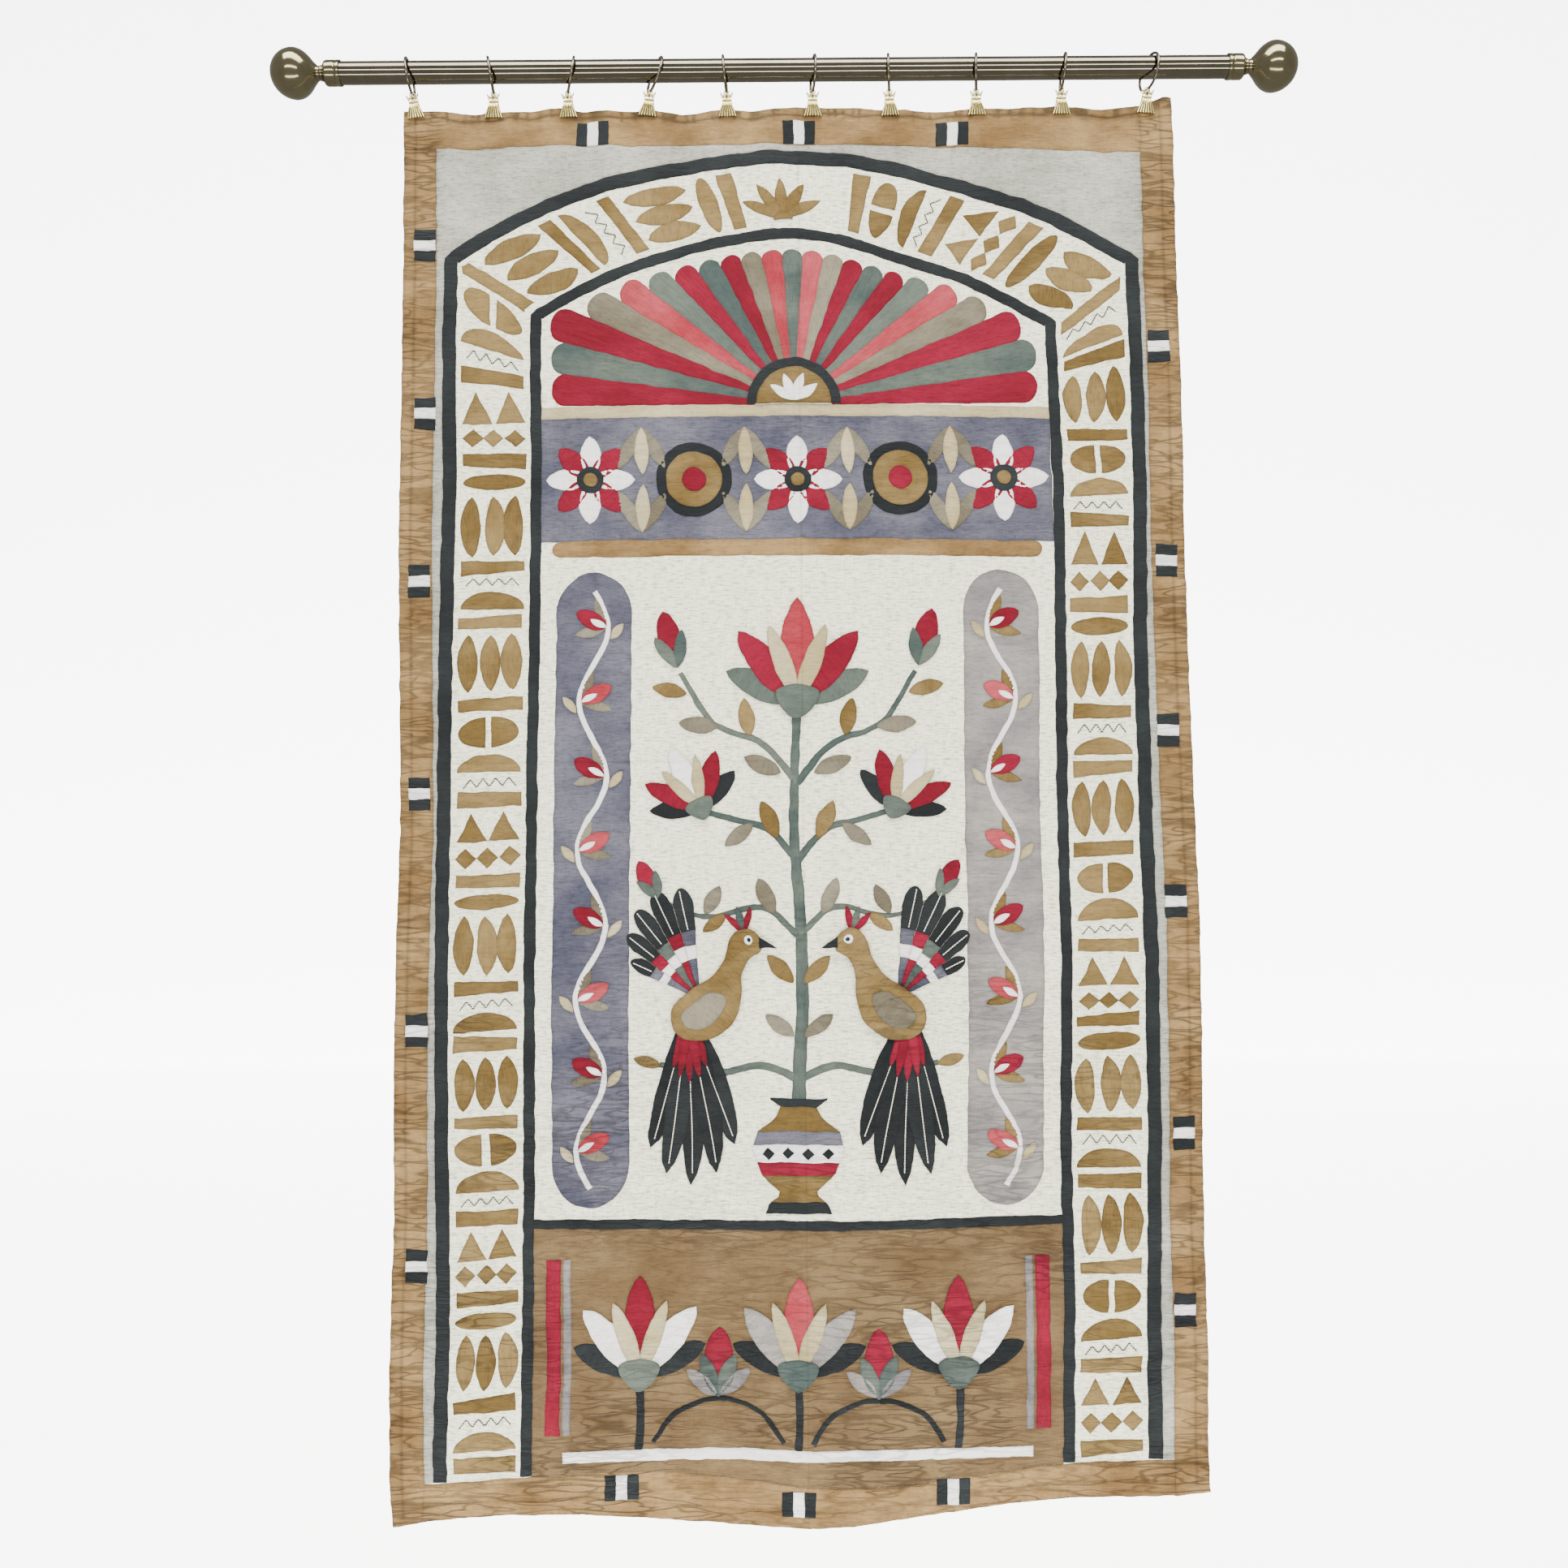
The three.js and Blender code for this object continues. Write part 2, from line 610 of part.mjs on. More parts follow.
// Between the border's inner edges and the outer band: two corners and a narrow strip down each side
function spandrelOutline() {
  const band = offsetLine(outerLine, OUTER_BAND_WIDTH / 2 + SEAM_GAP);
  const left = (z) => borderLeft(z) + SEAM_GAP;
  const right = (z) => borderRight(z) - SEAM_GAP;
  const topZ = SIDE_EDGES[0].z;
  const inside = rowsWithin(TOP_EDGE, left(topZ), right(topZ));
  const sides = SIDE_EDGES.slice(1);
  const foot = (x) => bottomSeam(x) + FOOT_GAP;
  return [
    spot(left(topZ), topSeam(left(topZ)) - 2 * SEAM_GAP),
    ...inside.map((row) => spot(row.x, row.seam - SEAM_GAP)),
    spot(right(topZ), topSeam(right(topZ)) - SEAM_GAP),
    ...sides.map((row) => spot(right(row.z), Math.max(row.z, foot(right(row.z))))),
    ...band.reverse(),
    ...sides.reverse().map((row) => spot(left(row.z), Math.max(row.z, foot(left(row.z))))),
  ];
}

function lunetteRailOutline() {
  const top = (x) => seamHeight(SEAMS.lunetteRailTop, x);
  const foot = (x) => seamHeight(SEAMS.friezeTop, x) + SEAM_GAP;
  return panelOutline(innerLeft, innerRight, top, foot, 1);
}

function friezeOutline() {
  const top = (x) => seamHeight(SEAMS.friezeTop, x);
  const foot = (x) => seamHeight(SEAMS.friezeFoot, x) + SEAM_GAP;
  return panelOutline(innerLeft, innerRight, top, foot, 2);
}

// The frieze rail stops short of the bands and has rounded ends
function friezeRailOutline() {
  const capSteps = 6;
  const top = (x) => seamHeight(SEAMS.friezeFoot, x) - SEAM_GAP;
  const foot = (x) => seamHeight(SEAMS.friezeRailFoot, x);
  const left = innerLeft(foot(0)) + FRIEZE_RAIL_INSET;
  const right = innerRight(foot(0)) - FRIEZE_RAIL_INSET;
  const cap = (x, from) => {
    const radius = (top(x) - foot(x)) / 2;
    const middle = (top(x) + foot(x)) / 2;
    return steps(from, from - Math.PI, capSteps).map((angle) =>
      spot(x + radius * Math.cos(angle), middle + radius * Math.sin(angle)),
    );
  };
  return [
    ...cap(left, -Math.PI / 2).slice(0, -1),
    ...steps(left, right, FIELD_STEPS).slice(0, -1).map((x) => spot(x, top(x))),
    ...cap(right, Math.PI / 2).slice(0, -1),
    ...steps(right, left, FIELD_STEPS).slice(0, -1).map((x) => spot(x, foot(x))),
  ];
}

// An upright panel with a curved top and foot
function sidePanelOutline(outerSide, towards) {
  const outer = (z) => outerSide(z) + towards * SIDE_PANEL_INSET;
  const middle = (z) => outer(z) + (towards * SIDE_PANEL_WIDTH) / 2;
  const halfWidth = SIDE_PANEL_WIDTH / 2;
  const reachAt = (z) => {
    const into = Math.min(SIDE_PANEL_TOP - z, z - SIDE_PANEL_FOOT);
    return halfWidth * Math.sqrt(1 - (1 - clampShare(into / SIDE_PANEL_END)) ** 2);
  };
  const ends = steps(0, 1, SIDE_PANEL_END_STEPS).map((share) => share ** 2 * SIDE_PANEL_END);
  const straight = [SIDE_PANEL_TOP - SIDE_PANEL_END, SIDE_PANEL_FOOT + SIDE_PANEL_END];
  const heights = [
    ...ends.map((into) => SIDE_PANEL_TOP - into),
    ...steps(...straight, SIDE_PANEL_STEPS).slice(1, -1),
    ...ends.map((into) => SIDE_PANEL_FOOT + into).reverse(),
  ];
  return [
    ...heights.slice(0, -1).map((z) => spot(middle(z) + reachAt(z), z)),
    ...heights.reverse().slice(0, -1).map((z) => spot(middle(z) - reachAt(z), z)),
  ];
}

function baseLineOutline() {
  const top = (x) => seamHeight(SEAMS.baseLineTop, x);
  const foot = (x) => seamHeight(SEAMS.baseTop, x) + SEAM_GAP;
  return panelOutline(innerLeft, innerRight, top, foot, 1);
}

function basePanelOutline() {
  const top = (x) => seamHeight(SEAMS.baseTop, x);
  const foot = (x) => bottomSeam(x) + FOOT_GAP;
  return panelOutline(innerLeft, innerRight, top, foot, 3);
}

// A solid turned round the X axis from a profile of distances along it and radii
function turned(profile, sides) {
  const points = profile.map(({ along, radius }) => new THREE.Vector2(radius, along));
  const halfSide = Math.PI / sides;
  const geometry = new THREE.LatheGeometry(points, sides, halfSide, 2 * Math.PI);
  geometry.rotateZ(-Math.PI / 2);
  return geometryOf(solidOf(geometry));
}

// The pole has a flat underneath along its whole length, split where the brackets would carry it
function poleGeometry() {
  const radius = POLE_RADIUS / Math.cos(Math.PI / POLE_SIDES);
  const end = POLE_MOUTH_X + POLE_INSERTION;
  const seat = [BRACKET_SEAT_X + BRACKET_SEAT_WIDTH / 2, BRACKET_SEAT_X - BRACKET_SEAT_WIDTH / 2];
  const stations = [-end, -seat[0], -seat[1], seat[1], seat[0], end];
  return turned(
    [
      { along: -end, radius: 0 },
      ...stations.map((along) => ({ along, radius })),
      { along: end, radius: 0 },
    ],
    POLE_SIDES,
  );
}

// A finial: a blind socket that takes the pole's end, a beaded neck and an onion-shaped ball
function finialGeometry() {
  const floor = POLE_INSERTION + SOCKET_FLOOR_GAP;
  const dome = steps(0, Math.PI / 2, BALL_ARC_STEPS).map((angle) => ({
    along: BALL_MIDDLE + BALL_RADIUS * Math.sin(angle),
    radius: angle === Math.PI / 2 ? 0 : BALL_RADIUS * Math.cos(angle),
  }));
  return turned(
    [
      { along: floor, radius: 0 },
      { along: floor, radius: SOCKET_BORE_RADIUS },
      { along: 0, radius: SOCKET_BORE_RADIUS },
      ...FINIAL_PROFILE,
      ...dome,
    ],
    FINIAL_SIDES,
  );
}

// Height of the ring's middle: its wire lies on the pole at the top of the ring
function ringMiddleZ(hanger) {
  const rise = RING_MEAN_RADIUS * Math.cos(hanger.lean * DEGREE);
  return POLE_RADIUS + RING_GAP + RING_WIRE_RADIUS - rise;
}

function ringMesh(hanger, name) {
  const torus = new THREE.TorusGeometry(RING_MEAN_RADIUS, RING_WIRE_RADIUS, RING_WIRE_SIDES, RING_STEPS);
  torus.rotateZ(Math.PI / 2);
  torus.rotateY(Math.PI / 2);
  const mesh = finished(name, geometryOf(solidOf(torus)), RING_METAL);
  const lean = hanger.lean * DEGREE;
  mesh.rotation.set(0, lean, hanger.turn * DEGREE, "YZX");
  mesh.position.set(hanger.x + RING_MEAN_RADIUS * Math.sin(lean), 0, ringMiddleZ(hanger));
  return mesh;
}

// A flat plate cut to an outline in X and Z, between two values of Y
function plateSolid(outline, holes, yFront, yBack) {
  const shape = new THREE.Shape(outline);
  holes.forEach((hole) => shape.holes.push(new THREE.Path(hole)));
  const plate = new THREE.ExtrudeGeometry(shape, { depth: yBack - yFront, bevelEnabled: false });
  plate.rotateX(Math.PI / 2);
  plate.translate(0, yBack, 0);
  return solidOf(plate);
}

const rectangle = (halfWidth, top, foot) => [
  spot(-halfWidth, foot),
  spot(halfWidth, foot),
  spot(halfWidth, top),
  spot(-halfWidth, top),
];

function circle(radius, sides) {
  return Array.from({ length: sides }, (_, i) => {
    const angle = ((i + 0.5) * 2 * Math.PI) / sides;
    return spot(radius * Math.cos(angle), radius * Math.sin(angle));
  });
}

// A clip hangs from its eye's middle, at the local origin: the ring's wire runs through along Y.
// The front jaw is a crown over a pleated skirt, and the back jaw is a plain plate.
function clipGeometry() {
  const jawFront = skinFront - TOUCH_GAP;
  const plateFront = jawFront - PLATE_THICKNESS;
  const jawBack = GROUND_THICKNESS / 2 + TOUCH_GAP;
  const plateBack = jawBack + PLATE_THICKNESS;
  const eye = plateSolid(
    circle(EYE_RADIUS, EYE_SIDES),
    [circle(EYE_BORE_RADIUS, EYE_SIDES)],
    -EYE_THICKNESS / 2,
    EYE_THICKNESS / 2,
  );
  const stem = plateSolid(
    rectangle(EYE_BORE_RADIUS, -(EYE_BORE_RADIUS + EYE_RADIUS) / 2, -BRIDGE_FOOT),
    [],
    -EYE_THICKNESS / 2,
    EYE_THICKNESS / 2,
  );
  const crown = plateSolid(
    [
      spot(-CROWN_HALF_WIDTH, -CROWN_TOP),
      spot(-CROWN_HALF_WIDTH + CROWN_TAPER, -CROWN_NOTCH - JOINT_OVERLAP),
      spot(-WAIST_HALF_WIDTH, -WAIST_DROP - JOINT_OVERLAP),
      spot(WAIST_HALF_WIDTH, -WAIST_DROP - JOINT_OVERLAP),
      spot(CROWN_HALF_WIDTH - CROWN_TAPER, -CROWN_NOTCH - JOINT_OVERLAP),
      spot(CROWN_HALF_WIDTH, -CROWN_TOP),
      spot(CROWN_HALF_WIDTH / 2, -CROWN_NOTCH),
      spot(0, -CROWN_TOP),
      spot(-CROWN_HALF_WIDTH / 2, -CROWN_NOTCH),
    ],
    [],
    plateFront,
    jawFront,
  );
  const bridge = plateSolid(
    rectangle(BRIDGE_HALF_WIDTH, -BRIDGE_TOP, -BRIDGE_FOOT),
    [],
    jawFront - PLATE_THICKNESS / 2,
    plateBack - PLATE_THICKNESS / 2,
  );
  const backJaw = plateSolid(
    [
      spot(-BACK_JAW_HALF_WIDTH, -BACK_JAW_DROP),
      spot(BACK_JAW_HALF_WIDTH, -BACK_JAW_DROP),
      spot(WAIST_HALF_WIDTH, -BACK_JAW_TOP),
      spot(-WAIST_HALF_WIDTH, -BACK_JAW_TOP),
    ],
    [],
    jawBack,
    plateBack,
  );
  return geometryOf(eye.add(stem).add(crown).add(bridge).add(backJaw).add(skirtSolid(jawFront)));
}

// The pleated skirt widens downwards, and its pleats deepen towards a scalloped hem
function skirtSolid(jawFront) {
  const across = steps(-1, 1, SKIRT_COLUMNS);
  const down = steps(0, 1, SKIRT_ROWS);
  const wave = (side) => Math.cos(side * SKIRT_PLEATS * Math.PI);
  const point = (side, share, y) => {
    const halfWidth = WAIST_HALF_WIDTH + (SKIRT_HALF_WIDTH - WAIST_HALF_WIDTH) * share ** SKIRT_FLARE;
    const scallop = share === 1 ? SKIRT_SCALLOP * wave(side) : 0;
    const drop = WAIST_DROP + (SKIRT_DROP - WAIST_DROP) * share + scallop;
    return new THREE.Vector3(halfWidth * side, y, -drop);
  };
  const front = down.map((share) =>
    across.map((side) => {
      const growth = SKIRT_WAIST_PLEAT + (1 - SKIRT_WAIST_PLEAT) * share;
      const proud = (SKIRT_PLEAT_DEPTH * growth * (1 + wave(side))) / 2;
      return point(side, share, jawFront - PLATE_THICKNESS - proud);
    }),
  );
  const back = down.map((share) => across.map((side) => point(side, share, jawFront)));
  return solidOf(slabGeometry(front, back));
}

function clipMesh(hanger, name, geometry) {
  const mesh = finished(name, geometry, CLIP_BRASS);
  const wireZ = ringMiddleZ(hanger) - RING_MEAN_RADIUS * Math.cos(hanger.lean * DEGREE);
  mesh.rotation.y = -hanger.swing * DEGREE;
  mesh.position.set(hanger.x, 0, wireZ - EYE_DROP);
  return mesh;
}

function finished(name, geometry, finish) {
  const mesh = new THREE.Mesh(geometry, new THREE.MeshStandardMaterial(finish));
  mesh.name = name;
  return mesh;
}

const numbered = (stem, i) => stem + "_" + String(i + 1).padStart(2, "0");

function hardwareGroup() {
  const group = new THREE.Group();
  group.add(finished("pole", poleGeometry(), POLE_METAL));
  const right = finished("finial_right", finialGeometry(), POLE_METAL);
  right.position.x = POLE_MOUTH_X;
  const left = finished("finial_left", finialGeometry(), POLE_METAL);
  left.rotation.z = Math.PI;
  left.position.x = -POLE_MOUTH_X;
  group.add(right, left);
  const clip = clipGeometry();
  HANGERS.forEach((hanger, i) => {
    group.add(ringMesh(hanger, numbered("ring", i)));
    group.add(clipMesh(hanger, numbered("clip", i), clip));
  });
  return group;
}

function clothGroup() {
  const group = new THREE.Group();
  const skin = (name, outline, finish) => group.add(finished(name, cutPiece(skinLayer, outline), finish));
  group.add(finished("ground_cloth", cutPiece(groundLayer, groundOutline()), CREAM));
  skin("border_top", borderTopOutline(), TAN);
  skin("border_bottom", borderBottomOutline(), TAN);
  skin("border_left", borderLeftOutline(), TAN);
  skin("border_right", borderRightOutline(), TAN);
  skin("spandrel_cloth", spandrelOutline(), GREY);
  skin("arch_band_outer", bandOutline(outerLine, OUTER_BAND_WIDTH), BLACK);
  skin("arch_band_inner", bandOutline(innerLine, INNER_BAND_WIDTH), BLACK);
  skin("lunette_rail", lunetteRailOutline(), TAN);
  skin("frieze_panel", friezeOutline(), VIOLET);
  skin("frieze_rail", friezeRailOutline(), TAN);
  skin("side_panel_left", sidePanelOutline(innerLeft, 1), VIOLET);
  skin("side_panel_right", sidePanelOutline(innerRight, -1), VIOLET);
  skin("base_line", baseLineOutline(), BLACK);
  skin("base_panel", basePanelOutline(), BROWN);
  return group;
}

const hanging = new THREE.Group();
hanging.add(hardwareGroup(), clothGroup());

export default hanging;
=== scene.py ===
"""Dresses the applique wall hanging: cloths, cut patches, stitches, pole, rings and clips."""

import logging
import math
from dataclasses import dataclass, field
from enum import Enum
from functools import partial
from typing import Callable, Iterable, Sequence

import bmesh
import bpy
import numpy as np
from mathutils import Euler, Matrix, Vector
from mathutils.geometry import delaunay_2d_cdt


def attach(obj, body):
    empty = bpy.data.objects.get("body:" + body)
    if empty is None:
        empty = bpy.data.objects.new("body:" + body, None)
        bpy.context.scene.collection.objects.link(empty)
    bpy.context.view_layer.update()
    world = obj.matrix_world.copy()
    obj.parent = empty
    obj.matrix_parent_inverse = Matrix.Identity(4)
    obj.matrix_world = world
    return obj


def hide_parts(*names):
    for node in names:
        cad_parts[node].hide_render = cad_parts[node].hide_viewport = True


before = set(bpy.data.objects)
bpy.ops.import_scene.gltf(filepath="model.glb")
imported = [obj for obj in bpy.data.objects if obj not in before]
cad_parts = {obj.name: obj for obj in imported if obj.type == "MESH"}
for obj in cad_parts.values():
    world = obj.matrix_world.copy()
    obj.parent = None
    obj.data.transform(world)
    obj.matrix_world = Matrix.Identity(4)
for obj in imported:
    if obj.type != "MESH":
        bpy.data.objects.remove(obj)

LOG = logging.getLogger("wall_hanging")
MM = 0.001
Points = np.ndarray
Pair = tuple[float, float]
Socket = bpy.types.NodeSocket

# How the hardware carries the cloth, left to right: the clip's place in millimetres, then the
# ring's lean and turn and the clip's swing in degrees
HANGERS = (
    (-471, -8, 1, 13), (-368, -9, 6, 1), (-274, 9, 13, 2), (-170, 16, 23, -6), (-73, -5, -2, 2),
    (36, 2, 7, 0), (133, -1, -5, 2), (243, 1, -8, 1), (351, 6, -2, -1), (460, 7, 17, -6)
)

# The cloth's side edges, from the top down: height, left edge, right edge
SIDE_EDGES = np.array(
    (
        (-38, -481, 489), (-95, -481, 491), (-250, -481, 492), (-410, -483, 495.5),
        (-590, -486, 495.5), (-775, -484.5, 498), (-960, -483, 502), (-1080, -487.5, 505.5),
        (-1260, -490.5, 504.5), (-1430, -489, 502), (-1610, -494, 504.5), (-1745, -492.5, 501),
        (-1804, -487, 504)
    )
)

# The top edge: place across, the edge's height, and the seam under the top border strip
TOP_EDGE = np.array(
    (
        (-481, -51, -99), (-440, -52, -100), (-407, -57.5, -102), (-368, -53, -100),
        (-320, -51, -96), (-284, -47.5, -95), (-253, -53.5, -97), (-205, -54.5, -98.5),
        (-170, -51, -98), (-130, -56.5, -97), (-73, -51, -96.5), (-37, -55, -97), (24, -49, -98),
        (86, -52, -99), (148, -53.5, -100), (209, -55, -101.5), (243, -51.5, -103),
        (290, -54.5, -105), (345, -49.5, -107), (394, -53, -108), (445, -51, -109),
        (466, -45, -109), (480, -38, -109), (489, -40, -109)
    )
)

# The bottom edge and the seam above the bottom border strip
BOTTOM_EDGE = np.array(
    (
        (-487, -1804, -1757), (-433, -1796.5, -1754), (-344, -1788.5, -1745), (-256, -1791, -1741),
        (-167, -1798, -1742), (-79, -1805, -1750), (10, -1809.5, -1760), (70, -1807, -1762),
        (129, -1798.5, -1758), (217, -1788, -1750), (306, -1779.5, -1739), (395, -1773.5, -1731),
        (455, -1770, -1728), (503, -1765, -1727)
    )
)

# Middles of the black bands' straight legs: height, then outer left, inner left, inner right and
# outer right
BAND_LEGS = np.array(
    (
        (-360, -423, -315, 333, 439), (-530, -422.5, -313.5, 339, 441.5),
        (-740, -427, -316, 339.5, 438.5), (-940, -429, -319, 338.5, 441),
        (-1140, -431.5, -321.5, 341.5, 445), (-1340, -430.5, -321.5, 336.5, 444),
        (-1540, -427.5, -323, 338, 439.5), (-1720, -431.5, -325.5, 335, 438)
    )
)

# Middles of the bands' arched tops, from the left shoulder to the right one
OUTER_ARCH = (
    (-421, -242), (-350, -198), (-260, -159), (-171, -135), (-69, -118), (8, -114.5), (85, -120),
    (162, -136), (264, -167), (341, -196.5), (436, -249)
)
INNER_ARCH = (
    (-314.5, -314), (-248, -277), (-171.5, -246), (-95, -224.5), (-30, -214), (33, -213.5),
    (85, -225), (161, -250), (237, -277), (332, -329)
)
OUTER_BAND_WIDTH = 17.5
INNER_BAND_WIDTH = 14
BORDER_WIDTH = 41.5
HEM_WIDTH = 14.5
TOP_HEM_WIDTH = 9
BOTTOM_HEM_WIDTH = 18

# Middles of the black and white blocks sewn on each strip of the border
BLOCKS = {
    "left": ((-454, -224), (-453, -438), (-460, -649), (-459, -915), (-462, -1207), (-461, -1494)),
    "right": ((468, -359), (473, -630), (470, -842), (476, -1054), (480, -1337), (477, -1550)),
    "top": ((-242, -83), (18, -82), (212, -84)), "bottom": ((-210, -1760), (5, -1781), (193, -1767))
}

# Heights of the cross seams at the left end, the middle and the right end of the inner field
FIELD_LEFT, FIELD_RIGHT = -315, 337
SEAMS = {
    "lunette rail top": (-432, -429, -436), "frieze top": (-447, -444, -450),
    "frieze foot": (-602, -599, -605), "frieze rail foot": (-622, -620, -625),
    "base line top": (-1436, -1441, -1437), "base top": (-1447, -1453, -1448)
}
FIELD_HALF_WIDTH = 316
SIDE_PANEL_MIDDLE = 250
SIDE_PANEL_WIDTH = 92
SIDE_PANEL_TOP, SIDE_PANEL_FOOT, SIDE_PANEL_END = -640, -1424, 52

# Folds. Bellies between neighbouring clips, forward in millimetres
BELLIES = (4, -3, 5, -3.5, 4.5, 3, -4, 4, -4.5)
BELLY_FADE = 150
CLIP_FLAT_HALF_WIDTH = 17
# Upright ridges: middle, reach, how far forward, and the heights between which they grow
RIDGES = (
    (-470, 60, -5, -300, -1100), (-330, 95, 6, -350, -1250), (-120, 110, -5, -600, -1500),
    (90, 100, 5, -500, -1700), (290, 90, -5, -450, -1300), (450, 70, 7, -700, -1600)
)
CREASE_X, CREASE_Z = 17, -877
# How wide the painted shade along the two fold lines is, in millimetres; it stands partly for grime
CREASE_SHADE_WIDTH = 2.4
PUCKER_DEPTH = 1.1
# Corners that curl forward: place, reach, how far
CURLS = ((-487, -1804, 55, 9), (503, -1765, 60, 6))

GROUND_HALF = 0.7
LEVEL_STEP = 0.9
POLE_RADIUS = 14.0
RING_RADIUS = 22.7
RING_WIRE = 1.7
RING_PLAY = 0.7
EYE_PLAY = 0.3
MOST_SWING = 10
# First seeds of the places in the weave and of the tones, one for each patch
WEAVE_SEED, TONE_SEED = 1000, 500
# The least length that is divided by, and the most distances measured in one go
TINY, MOST_PAIRS = 1e-12, 1_500_000


def smooth_step(share: Points) -> Points:
    """Eases a share from 0 to 1, clamped at both ends."""
    share = np.clip(share, 0, 1)
    return share * share * (3 - 2 * share)


@dataclass(frozen=True)
class Crumple:
    """Seeded value noise over the cloth's plane, in millimetres, between -1 and 1."""

    seed: int
    cell: Pair

    def at(self, x: Points, z: Points) -> Points:
        """Noise at places on the cloth.

        Args:
            x: places across, in millimetres.
            z: heights, in millimetres.

        Returns:
            One value for each place.
        """
        size = 61
        table = np.random.default_rng(self.seed).uniform(-1, 1, (size, size))
        u = np.asarray(x, float) / self.cell[0] + 4096
        v = np.asarray(z, float) / self.cell[1] + 4096
        i, j = np.floor(u).astype(int), np.floor(v).astype(int)
        a, b = smooth_step(u - i), smooth_step(v - j)
        i0, i1, j0, j1 = i % size, (i + 1) % size, j % size, (j + 1) % size
        low = table[i0, j0] * (1 - a) + table[i1, j0] * a
        high = table[i0, j1] * (1 - a) + table[i1, j1] * a
        return low * (1 - b) + high * b


@dataclass(frozen=True)
class HungCloth:
    """How the cloth hangs: its edges, its seams and how far it stands off its flat plane."""

    sag: Crumple = Crumple(3, (70, 46))
    pucker: Crumple = Crumple(5, (38, 15))
    places: Crumple = Crumple(12, (105, 60))
    side_swell: Crumple = Crumple(14, (30, 13))
    hem_lines: Crumple = Crumple(15, (10, 30))

    def left(self, z: Points) -> Points:
        """The left edge at a height."""
        return np.interp(-np.asarray(z, float), -SIDE_EDGES[:, 0], SIDE_EDGES[:, 1])

    def right(self, z: Points) -> Points:
        """The right edge at a height."""
        return np.interp(-np.asarray(z, float), -SIDE_EDGES[:, 0], SIDE_EDGES[:, 2])

    def top(self, x: Points) -> Points:
        """The top edge at a place across."""
        return np.interp(x, TOP_EDGE[:, 0], TOP_EDGE[:, 1])

    def bottom(self, x: Points) -> Points:
        """The bottom edge at a place across."""
        return np.interp(x, BOTTOM_EDGE[:, 0], BOTTOM_EDGE[:, 1])

    def top_seam(self, x: Points) -> Points:
        """The seam under the top border strip."""
        return np.interp(x, TOP_EDGE[:, 0], TOP_EDGE[:, 2])

    def bottom_seam(self, x: Points) -> Points:
        """The seam above the bottom border strip."""
        return np.interp(x, BOTTOM_EDGE[:, 0], BOTTOM_EDGE[:, 2])

    def leg(self, column: int, z: Points) -> Points:
        """The middle of one of the black bands' legs at a height."""
        return np.interp(-np.asarray(z, float), -BAND_LEGS[:, 0], BAND_LEGS[:, column])

    def cross_seam(self, name: str, x: Points) -> Points:
        """The height of a cross seam of the inner field at a place across."""
        left, middle, right = SEAMS[name]
        share = (np.asarray(x, float) - FIELD_LEFT) / (FIELD_RIGHT - FIELD_LEFT)
        bow = middle - (left + right) / 2
        return left + share * (right - left) + 4 * bow * share * (1 - share)

    def drawn_in(self, x: Points, z: Points) -> Points:
        """How strongly the sewing draws the cloth in, in small crosswise puckers.

        Args:
            x: places across, in millimetres.
            z: heights, in millimetres.

        Returns:
            0 on smooth cloth, 1 where the puckers are deepest.
        """
        x, z = np.asarray(x, float), np.asarray(z, float)
        lower = 0.2 + 0.8 * smooth_step((-850 - z) / 500) + 0.5 * smooth_step((-1640 - z) / 60)
        upper_field = 0.4 * np.exp(-(((z + 500) / 130) ** 2))
        here = (0.55 + 0.5 * self.places.at(x, z)) * np.maximum(lower, upper_field)
        to_side = np.minimum(x - self.left(z), self.right(z) - x)
        beside = smooth_step((62 - to_side) / 30) * (0.85 + 0.25 * self.places.at(x + 300, z))
        return np.clip(np.maximum(here, beside), 0, 1)

    def hem_wrinkles(self, x: Points, z: Points) -> Points:
        """How deep the small upright wrinkles of the top hem are, from 0 to 1."""
        in_hem = smooth_step((z - self.top(x) + 17) / 8)
        return in_hem * np.exp(-((self.hem_lines.at(x, z) / 0.3) ** 2))

    def depth(self, x: Points, z: Points) -> Points:
        """How far the cloth's middle plane stands from the flat plane.

        Args:
            x: places across, in millimetres.
            z: heights, in millimetres.

        Returns:
            Y in millimetres, so forward is negative.
        """
        drop = np.maximum(0, -50 - np.asarray(z, float))
        near_clip = np.min(np.abs(np.asarray(x, float)[..., None] - [h[0] for h in HANGERS]), -1)
        settle = np.maximum(smooth_step((drop - 22) / 40), smooth_step((near_clip - 15) / 8))
        return self.folds(x, z) - settle * self.crumples(x, z)

    def crumples(self, x: Points, z: Points) -> Points:
        """How far forward the small swellings bring the cloth."""
        lower = 0.35 + 0.65 * smooth_step((-1000 - z) / 450)
        to_side = np.minimum(x - self.left(z), self.right(z) - x)
        beside = np.exp(-((to_side / 58) ** 2))
        swell = 0.6 + 0.8 * self.sag.at(x, z) + 0.8 * lower * self.pucker.at(x, z)
        # Kept far enough forward for the canvas to stay in front of its own back
        return np.maximum(-0.8, swell + 0.8 * beside * self.side_swell.at(x, z))

